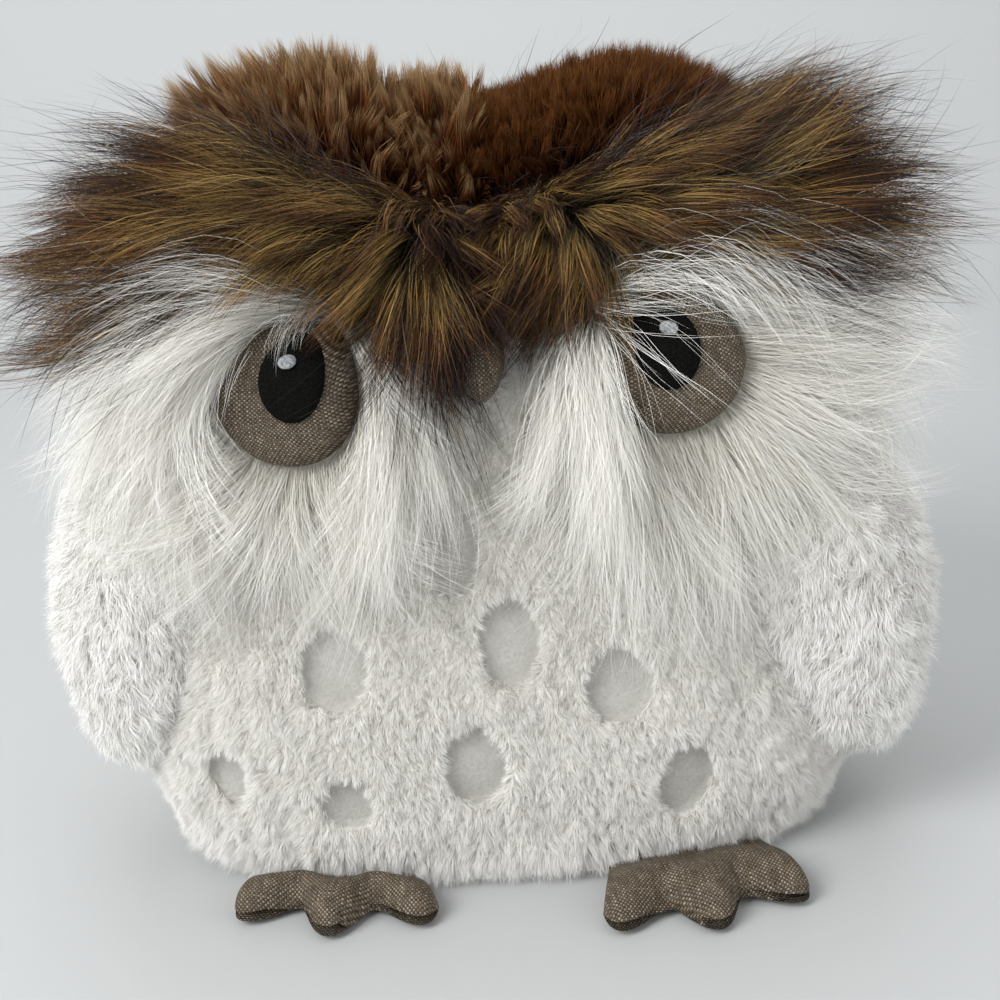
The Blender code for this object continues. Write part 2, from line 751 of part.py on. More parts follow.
def foot_rings(side, length, inset):
    """Sections along a foot from its root to its toes, drawn in by the inset."""
    spot = Spot(FOOT_BEARING, FOOT_ROOT_HEIGHT, side)
    middle = foot_middle(side)
    across_shares = [-s for s in FOOT_ACROSS_SHARES] + list(FOOT_ACROSS_SHARES[-2::-1])
    thickness = FOOT_THICKNESS - 2 * inset
    level = FOOT_FLOOR_CLEARANCE + inset + (1 - FOOT_TOP_SHARE) * thickness
    fan_back = FOOT_FAN_REACH - length
    narrow = 1.0 - inset / (FOOT_ROOT_WIDTH / 2)
    rings = []
    for along in FOOT_ALONG_SHARES:
        upper, lower = [], []
        for across in across_shares:
            bearing, height = spot.at(across * narrow * FOOT_ROOT_WIDTH / 2, 0.0)
            root = skin(bearing, height, LAYER_GAP)
            angle = side * across * narrow * FOOT_FAN_ANGLE
            notch = FOOT_NOTCH_DEPTH * (1.0 - toe_share(across))
            reach = FOOT_FAN_REACH - inset - notch
            ahead = reach * cos(angle) - fan_back
            aside = reach * sin(angle)
            turn = side * FOOT_TURN_OUT
            edge_x = middle.x + aside * cos(turn) + ahead * sin(turn)
            edge_y = middle.y + aside * sin(turn) - ahead * cos(turn)
            x = root.x + (edge_x - root.x) * along
            y = root.y + (edge_y - root.y) * along
            puff = thickness * foot_puff(across, along)
            upper.append(Vector((x, y, level + FOOT_TOP_SHARE * puff)))
            lower.append(Vector((x, y, level - (1 - FOOT_TOP_SHARE) * puff)))
        rings.append(upper + lower[-2:0:-1])
    return rings


def foot(side, word, length):
    """A foot's cover, open at its root, and the filling in it."""
    middle = foot_middle(side)
    pivot = Vector((middle.x, middle.y, FOOT_ROOT_HEIGHT))
    outer = foot_rings(side, length, 0.0)
    inner = foot_rings(side, length, FOOT_CLOTH)
    cover = lens_sack(f"foot_{word}_cover", outer, inner, LINEN, pivot=pivot)
    core = foot_rings(side, length, FOOT_CLOTH + SEAT_GAP)[1:]
    lens_loft(f"foot_{word}_filling", core, FIBRE, pivot=pivot, parent=cover)
    tell_hinge(f"foot_{word}", pivot, side * FOOT_BEARING)


def build():
    clear_scene()
    body_panel("body_front_panel", -pi / 2, WHITE_PLUSH)
    body_panel("body_back_panel", pi / 2, WHITE_PLUSH)
    base_panel()
    crown_panel()
    pellet_pouch()
    body_filling()
    beak()
    for side, word, rise in ((1.0, "left", LEFT_EYE_RISE), (-1.0, "right", 0.0)):
        eye(side, word, rise)
        brow(side, word)
    foot(1.0, "left", LEFT_FOOT_LENGTH)
    foot(-1.0, "right", RIGHT_FOOT_LENGTH)
    wing(1.0, "left", LEFT_WING_BEARING, LEFT_WING_TILT, LEFT_WING_DROP)
    wing(-1.0, "right", RIGHT_WING_BEARING, RIGHT_WING_TILT, 0.0)


build()
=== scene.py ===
"""Looks of a stuffed owl: plush, pile, long fur, woven linen and a plain pale room.

The owl sits on the origin and faces -Y, so its own left side is at +X. Every coat is made of
real strands, drawn with fixed seeds. A strand's map runs from root to tip across and over the
strands upward, and the fur materials colour by that map.
"""

from math import cos, pi, radians, sin, tau

import bmesh
import bpy
import numpy as np
from mathutils import Matrix, Vector
from mathutils.kdtree import KDTree


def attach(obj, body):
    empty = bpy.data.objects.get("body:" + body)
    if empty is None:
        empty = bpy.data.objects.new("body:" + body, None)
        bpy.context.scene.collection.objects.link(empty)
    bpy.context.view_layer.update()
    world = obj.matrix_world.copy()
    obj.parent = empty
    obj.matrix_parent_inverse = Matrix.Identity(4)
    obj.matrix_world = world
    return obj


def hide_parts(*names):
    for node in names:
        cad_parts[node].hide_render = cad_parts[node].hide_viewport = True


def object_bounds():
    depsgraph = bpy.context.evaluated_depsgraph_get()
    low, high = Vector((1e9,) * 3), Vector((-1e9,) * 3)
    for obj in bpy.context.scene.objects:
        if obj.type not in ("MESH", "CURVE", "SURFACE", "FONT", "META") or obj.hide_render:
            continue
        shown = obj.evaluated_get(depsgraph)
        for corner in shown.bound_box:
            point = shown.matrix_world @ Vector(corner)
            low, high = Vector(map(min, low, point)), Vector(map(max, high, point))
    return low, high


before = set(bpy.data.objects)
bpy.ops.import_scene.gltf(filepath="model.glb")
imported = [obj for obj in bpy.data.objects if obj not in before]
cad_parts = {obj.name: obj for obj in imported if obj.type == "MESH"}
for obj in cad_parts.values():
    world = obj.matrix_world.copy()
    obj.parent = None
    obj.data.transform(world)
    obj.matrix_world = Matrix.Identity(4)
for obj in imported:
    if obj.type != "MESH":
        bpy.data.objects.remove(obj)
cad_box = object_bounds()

# Upward, and what keeps only the level part of a vector
UP, LEVEL = np.array((0.0, 0.0, 1.0)), np.array((1.0, 1.0, 0.0))

# Sizes of the body's skin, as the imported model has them
BODY_WIDTH, BODY_FRONT, BODY_BACK, BODY_TALL = 0.220, 0.078, 0.070, 0.233
WIDEST = 0.4506 * BODY_TALL
LOW_REACH = WIDEST + 0.031
PLAN_SQUARE, LOW_SQUARE, HIGH_SQUARE = 3.4, 4.5, 3.2
BELLY, BELLY_HEIGHT, BELLY_RISE = 0.005, 0.249 * BODY_TALL, 0.300 * BODY_TALL
HEAD, HEAD_HEIGHT, HEAD_RISE = 0.003, 0.738 * BODY_TALL, 0.223 * BODY_TALL
CROWN_DIP, CROWN_DIP_HALF = 0.012, 0.062
LOW_EDGE, CROWN_SEAM = 0.004, 0.940 * BODY_TALL
CLOTH_THICK, BASE_THICK, SEAM_GAP, LAYER_GAP = 0.004, 0.003, 0.0004, 0.0006
BODY_MIDDLE = np.array((0.0, 0.0, 0.11))

# Places and sizes on the face, by bearing and height
EYE_BEARING, EYE_HEIGHT = radians(31.6), 0.7160 * BODY_TALL
EYE_HALF, EYE_THICK = (0.0173, 0.0920 * BODY_TALL), 0.0060
PATCH_BEARING, PATCH_HEIGHT = radians(37.0), 0.6900 * BODY_TALL
PATCH_HALF, PATCH_THICK = (0.036, 0.1373 * BODY_TALL), 0.0075
PUPIL_BEARING, PUPIL_HEIGHT = radians(29.3), 0.7394 * BODY_TALL
PUPIL_HALF, PUPIL_THICK = (0.0072, 0.0515 * BODY_TALL), 0.0018
GLINT_HEIGHT, GLINT_HALF, GLINT_THICK = 0.7631 * BODY_TALL, (0.0019, 0.0019), 0.0010
BEAK_HEIGHT, BEAK_HALF, BEAK_THICK = 0.7430 * BODY_TALL, (0.0085, 0.0494 * BODY_TALL), 0.0120
BEAK_TAPER = 0.42
EYE_RISE = {1.0: 0.002, -1.0: 0.0}
BROW_TOP, BROW_V = CROWN_SEAM - 0.0015, 0.7960 * BODY_TALL
BROW_END, BROW_GAP = radians(68.0), 0.0006

# Wings and feet: the owl's left at 1, its right at -1
WING_PLACE = {1.0: (radians(58.0), radians(11.0), 0.008), -1.0: (radians(68.0), radians(5.0), 0.0)}
WING_SEAM = 0.5923 * BODY_TALL
WING_LENGTH, WING_WIDTH, WING_THICK, WING_GAP = 0.440 * BODY_TALL, 0.068, 0.023, 0.0009
FOOT_BEARING, FOOT_TURN, FOOT_WIDTH, FOOT_ROOT = radians(35.8), radians(9.0), 0.050, 0.0070
FOOT_LENGTH = {1.0: 0.041, -1.0: 0.030}
FOOT_NOTCH, FOOT_REACH, FOOT_FAN = 0.013, 0.060, radians(36.0)
FOOT_THICK, FOOT_LIFT = 0.0135, 0.0005

# Shares along the brow: way along, low edge, thickness
BROW_SHARES = (
    (0.00, 0.00, 0.62), (0.12, 0.06, 0.76), (0.30, 0.26, 0.90), (0.48, 0.42, 1.00),
    (0.64, 0.38, 1.10), (0.78, 0.16, 1.00), (0.89, 0.02, 0.80), (0.96, 0.06, 0.50),
    (1.00, 0.20, 0.24),
)
# Shares down the wing: way down, width, thickness
WING_SHARES = (
    (0.00, 0.50, 0.28), (0.05, 0.70, 0.60), (0.14, 0.88, 0.84), (0.30, 1.00, 0.98),
    (0.50, 0.99, 1.00), (0.68, 0.90, 0.92), (0.84, 0.72, 0.78), (0.94, 0.48, 0.60),
    (0.985, 0.25, 0.40),
)
# Places where the pile is embossed flat: bearing, height, half width, half height
OVALS = (
    (-31.0, 0.0800, 0.0108, 0.0138), (2.2, 0.0860, 0.0098, 0.0146), (22.5, 0.0695, 0.0108, 0.0125),
    (-6.6, 0.0460, 0.0104, 0.0140), (34.0, 0.0350, 0.0094, 0.0130), (-8.6, 0.1165, 0.0090, 0.0160),
    (-50.0, 0.0420, 0.0080, 0.0105), (-31.5, 0.0345, 0.0085, 0.0090),
)
WING_OVAL_HALF = (0.0075, 0.0100)
WING_OVALS = {1.0: ((84.0, 0.0950), (70.0, 0.0600)), -1.0: ((84.0, 0.1180), (87.0, 0.0800))}


# Shapes as arrays: bearings, heights and what lies on the skin


def table(rows, way):
    """The row of a table at a way along it, smooth through its stations."""
    last = len(rows) - 1
    here = 0
    while here < last - 1 and way > rows[here + 1][0]:
        here += 1
    before, start = rows[max(here - 1, 0)], rows[here]
    end, after = rows[here + 1], rows[min(here + 2, last)]
    span = end[0] - start[0]
    t = min(max((way - start[0]) / span, 0.0), 1.0)
    found = []
    for column in range(1, len(start)):
        rise_in = (end[column] - before[column]) / (end[0] - before[0]) * span
        rise_out = (after[column] - start[column]) / (after[0] - start[0]) * span
        found.append(
            (2 * t**3 - 3 * t**2 + 1) * start[column] + (t**3 - 2 * t**2 + t) * rise_in
            + (3 * t**2 - 2 * t**3) * end[column] + (t**3 - t**2) * rise_out
        )
    return found


def bump(share):
    return np.maximum(1.0 - share * share, 0.0) ** 2


def ease(t):
    t = np.clip(t, 0.0, 1.0)
    return t * t * (3.0 - 2.0 * t)


def dome(share, square=2.5):
    return np.sqrt(np.maximum(1.0 - np.abs(share) ** square, 0.0))


def unit(vectors):
    return vectors / np.maximum(np.linalg.norm(vectors, axis=-1, keepdims=True), 1e-9)


def skin(bearing, height, grow=0.0):
    """The skin's points at bearings and heights, moved out by grow."""
    bearing, height, grow = np.broadcast_arrays(bearing, height, grow)
    above = height >= WIDEST
    reach = np.where(above, BODY_TALL - WIDEST, LOW_REACH) + grow
    square = np.where(above, HIGH_SQUARE, LOW_SQUARE)
    level = np.minimum(np.abs(height - WIDEST) / reach, 1.0)
    share = (1.0 - level**square) ** (1.0 / square)
    out = grow + BELLY * bump((height - BELLY_HEIGHT) / BELLY_RISE)
    out = out + HEAD * bump((height - HEAD_HEIGHT) / HEAD_RISE)
    depth = np.where(np.cos(bearing) > 0.0, BODY_FRONT, BODY_BACK) + out
    across = np.abs(np.sin(bearing)) / (BODY_WIDTH / 2 + out)
    along = np.abs(np.cos(bearing)) / depth
    reach = (across**PLAN_SQUARE + along**PLAN_SQUARE) ** (-1.0 / PLAN_SQUARE)
    x, y = reach * np.sin(bearing) * share, -reach * np.cos(bearing) * share
    rise = np.maximum((height - WIDEST) / (BODY_TALL - WIDEST), 0.0) ** 2
    return np.stack((x, y, height - CROWN_DIP * bump(x / CROWN_DIP_HALF) * rise), axis=-1)


def skin_run(bearing, height, step=radians(0.5)):
    """How far the skin runs over two small steps of bearing."""
    return skin(bearing + step, height) - skin(bearing - step, height)


def skin_speed(bearing, height, step=radians(0.5)):
    """How many metres of skin go by for each radian of bearing."""
    return np.linalg.norm(skin_run(bearing, height, step), axis=-1) / (2 * step)


def bearings(points):
    return np.arctan2(points[:, 0], -points[:, 1])


def along_skin(points):
    """The direction in which the bearing grows, on the skin near points."""
    return unit(skin_run(bearings(points), np.clip(points[:, 2], LOW_EDGE, CROWN_SEAM)))


def lumps(points, size, seed):
    """Soft uneven noise from minus one to one, the same each run."""
    rng = np.random.default_rng(seed)
    total = 0.0
    for octave in range(7):
        way = unit(rng.normal(size=3)) * tau / (size * (0.6 + 0.16 * octave))
        total = total + np.sin(points @ way + rng.uniform(0, tau))
    return total / 4.0


def grid_quads(rows, columns, closed, start=0):
    steps = columns if closed else columns - 1
    row, column = np.meshgrid(np.arange(rows - 1), np.arange(steps), indexing="ij")
    here, there = row * columns + column, row * columns + (column + 1) % columns
    quads = np.stack((here, there, there + columns, here + columns), axis=-1)
    return (quads.reshape(-1, 4) + start).tolist()


def band(first, second):
    """Faces between two closed rows of vertices."""
    return np.stack((first, np.roll(first, -1), np.roll(second, -1), second), axis=1).tolist()


# Pieces


def dress(name, mesh, finish, body):
    """The object of a finished mesh, riding on its body."""
    mesh.polygons.foreach_set("use_smooth", np.ones(len(mesh.polygons), bool))
    mesh.materials.append(finish)
    made = bpy.data.objects.new(name, mesh)
    bpy.context.collection.objects.link(made)
    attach(made, body)
    return made


def piece(name, points, faces, finish, body):
    """A closed piece from points and faces, with its faces turned outward."""
    mesh = bpy.data.meshes.new(name)
    mesh.from_pydata(np.asarray(points, float).reshape(-1, 3).tolist(), [], faces)
    shape = bmesh.new()
    shape.from_mesh(mesh)
    bmesh.ops.remove_doubles(shape, verts=shape.verts, dist=1e-6)
    bmesh.ops.recalc_face_normals(shape, faces=shape.faces)
    shape.to_mesh(mesh)
    shape.free()
    return dress(name, mesh, finish, body)


def capped(rows, columns):
    """Faces of a row of rings, closed at both ends."""
    ends = [tuple(range(columns)), tuple(range((rows - 1) * columns, rows * columns))]
    return grid_quads(rows, columns, True) + ends


def sack(name, top, low, finish, body):
    """A closed piece from the grids of its upper and its lower side, which share their rims."""
    rings = np.concatenate((top, low[:, -2:0:-1]), axis=1)
    return piece(name, rings, capped(*rings.shape[:2]), finish, body)


def closed_sides(front, back):
    """Points and faces of a lens whose front and back grids share their outer ring.

    The grids run from the hub outward: rings by spokes, with ring zero the hub."""
    rings, spokes = front.shape[:2]
    points = np.concatenate((front.reshape(-1, 3), back[:-1].reshape(-1, 3)))
    faces = grid_quads(rings, spokes, True)
    faces += grid_quads(rings - 1, spokes, True, rings * spokes)
    rim = (rings - 1) * spokes + np.arange(spokes)
    return points, faces + band(rim + rim[0], rim)


def oval_share(spot, side, half, bearing, height):
    across = (side * bearing - spot[0]) * skin_speed(spot[0], spot[1])
    return np.hypot(across / half[0], (height - spot[1]) / half[1])


def ovals(places, margin, blur, bearing, height):
    """One in any of these ovals, easing to zero at its edge. Each has a spot, side and half."""
    total = np.zeros(np.shape(bearing))
    for place in places:
        share = oval_share(*place, bearing, height)
        total = np.maximum(total, ease((margin - share) / blur))
    return total


def oval_layer(spot, side, half, thick, under):
    """How far the top of an oval pad lies off the skin."""

    def top(bearing, height):
        share = np.minimum(oval_share(spot, side, half, bearing, height), 1.0)
        return under(bearing, height) + LAYER_GAP + thick * dome(share, 4.0)

    return top


def bare(bearing, height):
    return 0.0 * bearing


def pad(name, spot, side, half, thick, under, finish, slot, rings=26, spokes=96, taper=0.0,
        relief=None, fill=0.8):
    """A padded oval laid on what is under it."""
    ring = np.sin(pi / 2 * np.arange(rings + 1) / rings)[:, None]
    angle = (tau * np.arange(spokes) / spokes)[None, :]
    narrow = 1.0 - taper * (1.0 - np.sin(angle)) / 2
    across, rise = half[0] * ring * np.cos(angle) * narrow, half[1] * ring * np.sin(angle)
    bearing = side * (spot[0] + across / skin_speed(spot[0], spot[1]))
    height = spot[1] + rise
    floor = under(bearing, height) + LAYER_GAP
    plump = thick * dome(ring + 0 * angle, 4.0)
    if relief is not None:
        plump = plump + relief(ring + 0 * angle, angle)
    front, back = skin(bearing, height, floor + plump), skin(bearing, height, floor)
    points, faces = closed_sides(front, back)
    made = piece(name, points, faces, finish, "body")
    return made


def layer(kind, word, stuff, spot, side, half, thick, under, finish, slot, plump=1.0, **more):
    """A pad in place of its node, and how far what is laid on it lies off the skin."""
    made = pad(f"{kind}_{word}_{stuff}", spot, side, half, thick * plump, under, finish, slot,
               **more)
    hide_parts(f"{kind}_{word}")
    return made, oval_layer(spot, side, half, thick, under)


# Coats of strands

# No piece of a coat has more triangles than this
PIECE_FACES = 190000
# Share of its coat's pull on a strand that left its lock, how far a lock is drawn out to reach
# the end of a longer strand, and the share of a strand's tone that is its own
FREE_PULL, LOCK_STRETCH, OWN_TONE = 0.15, 1.3, 0.25
# Half of the height of a strand's row on the map
ROW = 0.004
# Strands lie on the floor, and one that would leave the room allowed round the model is left out
FLOOR_CLEAR = 0.0005
ROOM_SPARE = 0.009 + 0.03 * (np.array(cad_box[1]) - np.array(cad_box[0]))
ROOM_LOW, ROOM_HIGH = np.array(cad_box[0]) - ROOM_SPARE, np.array(cad_box[1]) + ROOM_SPARE
ROOM_LOW[2] = 0.0


def outward(points, facing):
    """True where a surface faces away from the body's middle."""
    return (facing * (points - BODY_MIDDLE)).sum(axis=1) > 0


def read(items, key, width=3, kind=float):
    """One value of each item of a mesh, as rows of an array."""
    values = np.empty(len(items) * width, kind)
    items.foreach_get(key, values)
    return values.reshape(-1, width)


def scatter(obj, count, rng):
    """Places spread evenly over the outer side of a mesh, with its smooth normals there."""
    mesh = obj.data
    mesh.calc_loop_triangles()
    corners = read(mesh.loop_triangles, "vertices", 3, np.int32)
    points, normals = read(mesh.vertices, "co"), read(mesh.vertices, "normal")
    a, b, c = (points[corners[:, k]] for k in range(3))
    across = np.cross(b - a, c - a)
    area = np.linalg.norm(across, axis=1) * outward((a + b + c) / 3, across)
    pick = np.searchsorted(np.cumsum(area), rng.uniform(0, area.sum(), count))
    pick = np.minimum(pick, len(area) - 1)
    u, v = rng.uniform(size=(2, count))
    over = u + v > 1
    u[over], v[over] = 1 - u[over], 1 - v[over]
    shares = np.stack((1 - u - v, u, v), axis=1)[:, :, None]
    where = (np.stack((a[pick], b[pick], c[pick]), axis=1) * shares).sum(axis=1)
    facing = np.stack([normals[corners[pick, k]] for k in range(3)], axis=1)
    return where, unit((facing * shares).sum(axis=1))


def strand_paths(root, normal, comb, length, sweep, coat, rng):
    """Points along each strand, from its root to its tip; it turns by its sweep on the way."""
    count, steps = len(root), coat["steps"]
    step = (length / steps)[:, None]
    wander = rng.normal(size=(count, 3)) * coat["frizz"]
    phase = rng.uniform(0, tau, count)
    point, path = root.copy(), [root.copy()]
    side = unit(np.cross(normal, comb))
    for k in range(steps):
        t = (k + 0.5) / steps
        rise = coat["stand"] * (1 - t) ** coat["bend"] + coat["end"] * t
        turn = (phase + tau * coat["turns"] * t)[:, None]
        curl = coat["curl"] * (np.cos(turn) * side + np.sin(turn) * normal)
        swept = comb * np.cos(sweep * t)[:, None] + side * np.sin(sweep * t)[:, None]
        way = normal * rise + swept * (1 - 0.5 * rise) + wander * (0.4 + t) + curl
        way = way - UP * coat["droop"] * t * t
        point = point + unit(way) * step
        path.append(point.copy())
    return np.stack(path, axis=1)


def always(value):
    return lambda points, facing: np.full(len(points), value)


def grow(name, cloth, coat, finish, slot, body, seed, keep, comb, size=always(1.0),
         shade=always(0.0)):
    """A coat of strands on a cloth piece: locks first, then strands drawn to their lock.

    Its strands stand where keep allows and lie by comb. Size is a share of the coat's length,
    and shade is how far toward the tip's colour a strand starts."""
    rng = np.random.default_rng(seed)

    def planted(count):
        points, facing = scatter(cloth, count, rng)
        wanted = keep(points, facing)
        return points[wanted], facing[wanted]

    guides, guide_normals = planted(coat["locks"])
    roots, normals = planted(coat["count"])
    tree = KDTree(len(guides))
    for i, guide in enumerate(guides):
        tree.insert(guide, i)
    tree.balance()
    lock = np.array([tree.find(root)[1] for root in roots])

    def laid(points, facing, spread):
        way = comb(points, facing)
        way = unit(way - facing * (way * facing).sum(axis=1, keepdims=True))
        turn = rng.normal(size=len(points)) * spread
        aside = np.cross(facing, way)
        return way * np.cos(turn)[:, None] + aside * np.sin(turn)[:, None]

    guide_comb = laid(guides, guide_normals, coat["stray"])
    vary = 1 + coat["uneven"] * rng.uniform(-1, 1, len(guides))
    long = coat["length"] * vary * size(guides, guide_normals)
    sweep = coat["sweep"] * lumps(guides, coat["swirl"], seed)
    sweep = sweep + 0.3 * coat["sweep"] * rng.normal(size=len(guides))
    guide_paths = strand_paths(guides, guide_normals, guide_comb, long, sweep, coat, rng)
    way = unit(guide_comb[lock] + laid(roots, normals, coat["loose"]) * 0.5)
    own = coat["length"] * (1 + coat["ragged"] * rng.uniform(-1, 1, len(roots)))
    own = own * vary[lock] * size(roots, normals)
    paths = strand_paths(roots, normals, way, own, sweep[lock], coat, rng)
    along = np.linspace(0, 1, coat["steps"] + 1)
    pull = (coat["pull"] * along ** coat["gather"])[None, :, None]
    free = rng.uniform(size=len(roots)) < coat["free"]
    pull = pull * np.where(free, FREE_PULL, 1.0)[:, None, None]
    target = guide_paths[lock]
    reach = (own / np.maximum(long[lock], 1e-6))[:, None, None]
    target = target[:, :1] + (target - target[:, :1]) * np.minimum(reach, LOCK_STRETCH)
    paths = paths + pull * (target - paths)
    paths[..., 2] = np.maximum(paths[..., 2], FLOOR_CLEAR)
    inside = ((paths > ROOM_LOW) & (paths < ROOM_HIGH)).all(axis=(1, 2))
    # A strand's row on the map keeps near its lock's row, so that locks differ in tone
    tone = rng.uniform(0, 1, len(guides))[lock] * (1 - OWN_TONE)
    tone = tone + rng.uniform(0, 1, len(roots)) * OWN_TONE
    start = shade(roots, normals)
    # The coat is cut into pieces side by side
    order = np.nonzero(inside)[0]
    order = order[np.argsort(roots[order, 0])]
    parts = 1 + len(order) * (2 * coat["steps"] - 1) // PIECE_FACES
    for part, chosen in enumerate(np.array_split(order, parts)):
        ribbons(f"{name}_{part + 1}", paths[chosen], normals[chosen], tone[chosen], start[chosen],
                coat, finish, body, rng)


def ribbons(name, paths, normals, tone, start, coat, finish, body, rng):
    """Tapered ribbons along the strands, each with its row of the map."""
    count, stations = paths.shape[:2]
    steps = stations - 1
    tangent = unit(np.gradient(paths, axis=1))
    facing = unit(normals * coat["face"] + rng.normal(size=(count, 3)))[:, None, :]
    side = unit(np.cross(tangent, facing))
    along = np.linspace(0, 1, stations)
    taper = np.minimum(1.0, 0.75 + along * 1.2) * (1 - along**2.2 * 0.9)
    width = coat["width"] * rng.uniform(0.7, 1.3, count)[:, None] * taper[None, :]
    half = side * width[:, :, None] / 2
    left, right = paths - half, paths + half
    corners = np.stack((left[:, :steps], right[:, :steps]), axis=2).reshape(count, 2 * steps, 3)
    points = np.concatenate((corners, paths[:, steps:]), axis=1).reshape(-1, 3)
    per = 2 * steps + 1
    quads = [(2 * k, 2 * k + 1, 2 * k + 3, 2 * k + 2) for k in range(steps - 1)]
    loops = [v for quad in quads for v in quad] + [2 * steps - 2, 2 * steps - 1, 2 * steps]
    sizes = [4] * (steps - 1) + [3]
    base = (np.arange(count) * per)[:, None]
    loop_vertices = (base + np.array(loops)[None, :]).ravel().astype(np.int32)
    loop_sizes = np.tile(sizes, count)
    starts = np.concatenate(((0,), np.cumsum(loop_sizes)[:-1])).astype(np.int32)
    mesh = bpy.data.meshes.new(name)
    mesh.vertices.add(len(points))
    mesh.vertices.foreach_set("co", points.astype(np.float32).ravel())
    mesh.loops.add(len(loop_vertices))
    mesh.loops.foreach_set("vertex_index", loop_vertices)
    mesh.polygons.add(len(starts))
    mesh.polygons.foreach_set("loop_start", starts)
    mesh.polygons.foreach_set("loop_total", loop_sizes.astype(np.int32))
    mesh.update(calc_edges=True)
    mesh.validate()
    u = np.concatenate((np.repeat(along[:steps], 2), (1.0,)))[None, :]
    u = start[:, None] + (1 - coat.get("shift", 0.0)) * u
    v = np.concatenate((np.tile((-ROW, ROW), steps), (0.0,)))[None, :]
    v = v + (ROW + tone * (1 - 2 * ROW))[:, None]
    uv = np.stack((u * 0.996 + 0.002, v), axis=-1).reshape(-1, 2)
    layer = mesh.uv_layers.new(name="OFBake")
    layer.data.foreach_set("uv", uv[loop_vertices].astype(np.float32).ravel())
    dress(name, mesh, finish, body)


# Materials


class Paint:
    """A material under way: its nodes are added one by one and linked by name."""

    def __init__(self, name):
        self.made = bpy.data.materials.new(name)
        self.made.use_nodes = True
        self.tree = self.made.node_tree
        self.shader = self.tree.nodes["Principled BSDF"]

    def feed(self, node, values):
        """Values for a node's inputs, or outputs of other nodes to link to them."""
        for key, value in values.items():
            if isinstance(value, bpy.types.NodeSocket):
                self.tree.links.new(value, node.inputs[key])
            else:
                node.inputs[key].default_value = value

    def set(self, **values):
        self.feed(self.shader, {key.replace("_", " "): value for key, value in values.items()})
        return self

    def node(self, kind, inputs, **values):
        node = self.tree.nodes.new(kind)
        for key, value in values.items():
            setattr(node, key, value)
        self.feed(node, inputs)
        return node

    def math(self, operation, *values):
        node = self.node("ShaderNodeMath", dict(enumerate(values)), operation=operation)
        return node.outputs[0]

    def times(self, first, second):
        return self.math("MULTIPLY", first, second)

    def vector(self, *values):
        return self.node("ShaderNodeCombineXYZ", dict(enumerate(values))).outputs[0]

    def ramp(self, share, stops):
        node = self.node("ShaderNodeValToRGB", {"Fac": share})
        ramp = node.color_ramp
        while len(ramp.elements) < len(stops):
            ramp.elements.new(0.5)
        for element, (place, colour) in zip(ramp.elements, stops):
            element.position = place
            element.color = (*colour, 1.0)
        return node.outputs["Color"]

    def mix(self, share, first, second, blend="MIX"):
        inputs = {0: share, 6: first, 7: second}
        node = self.node("ShaderNodeMix", inputs, data_type="RGBA", blend_type=blend)
        return node.outputs[2]

    def noise(self, vector, scale, detail=3.0, rough=0.55):
        inputs = {"Vector": vector, "Scale": scale, "Detail": detail, "Roughness": rough}
        return self.node("ShaderNodeTexNoise", inputs).outputs["Fac"]

    def place(self):
        return self.node("ShaderNodeTexCoord", {}).outputs["Object"]

    def on_map(self, name):
        """Both coordinates of a map."""
        spot = self.node("ShaderNodeUVMap", {}, uv_map=name).outputs["UV"]
        return self.node("ShaderNodeSeparateXYZ", {"Vector": spot}).outputs[:2]

    def bump(self, height, distance):
        inputs = {"Height": height, "Distance": distance, "Strength": 1.0}
        self.set(Normal=self.node("ShaderNodeBump", inputs).outputs["Normal"])


def fur_paint(name, root_to_tip, streaks, roughness, sheen=0.2, gloss=0.3):
    """Fur coloured along the strand, with streaks that differ from strand to strand."""
    paint = Paint(name)
    along, strand = paint.on_map("OFBake")

    def spread(along_scale, strand_scale, detail):
        place = paint.vector(paint.times(along, along_scale), paint.times(strand, strand_scale))
        return paint.noise(place, 1.0, detail)

    fine = paint.math("SUBTRACT", spread(1.5, 90.0, 2.0), 0.5)
    colour = paint.ramp(paint.math("ADD", along, paint.times(fine, 0.45)), root_to_tip)
    streak = paint.ramp(spread(0.8, 23.0, 1.0), streaks)
    return paint.set(Base_Color=paint.mix(1.0, colour, streak, "MULTIPLY"), Roughness=roughness,
                     Sheen_Weight=sheen, Sheen_Roughness=0.5, IOR=1.5,
                     Specular_IOR_Level=gloss).made


def cloth_paint(name, colour, dark, pressed_shaded=None):
    """Backing cloth of a plush, seen between the strands, and bare where it is pressed, with a
    darker tone there that is partly its own and partly painted shade.
    """
    paint = Paint(name)
    where = paint.place()
    fine = paint.noise(where, 900.0)
    nap = paint.times(fine, paint.noise(where, 75.0))
    # Painted shade: the tone follows the hollows of the nap's bump, mixed with a tone that differs
    # at random
    tone = paint.ramp(nap, ((0.10, dark), (0.38, colour)))
    # Where the pile is pressed flat the cloth is darker: partly the flat nap's own tone, partly
    # painted shade of the sunk oval under the pile's rim
    if pressed_shaded is not None:
        share = paint.node("ShaderNodeAttribute", {}, attribute_name="Pressed_shaded").outputs["Fac"]
        share = paint.math("MINIMUM", paint.times(share, 2.5), 1.0)
        tone = paint.mix(share, tone, paint.ramp(nap, ((0.10, pressed_shaded[0]), (0.38, pressed_shaded[1]))))
    paint.bump(fine, 0.0004)
    return paint.set(Base_Color=tone, Roughness=0.95, Sheen_Weight=0.25, Sheen_Roughness=0.6).made


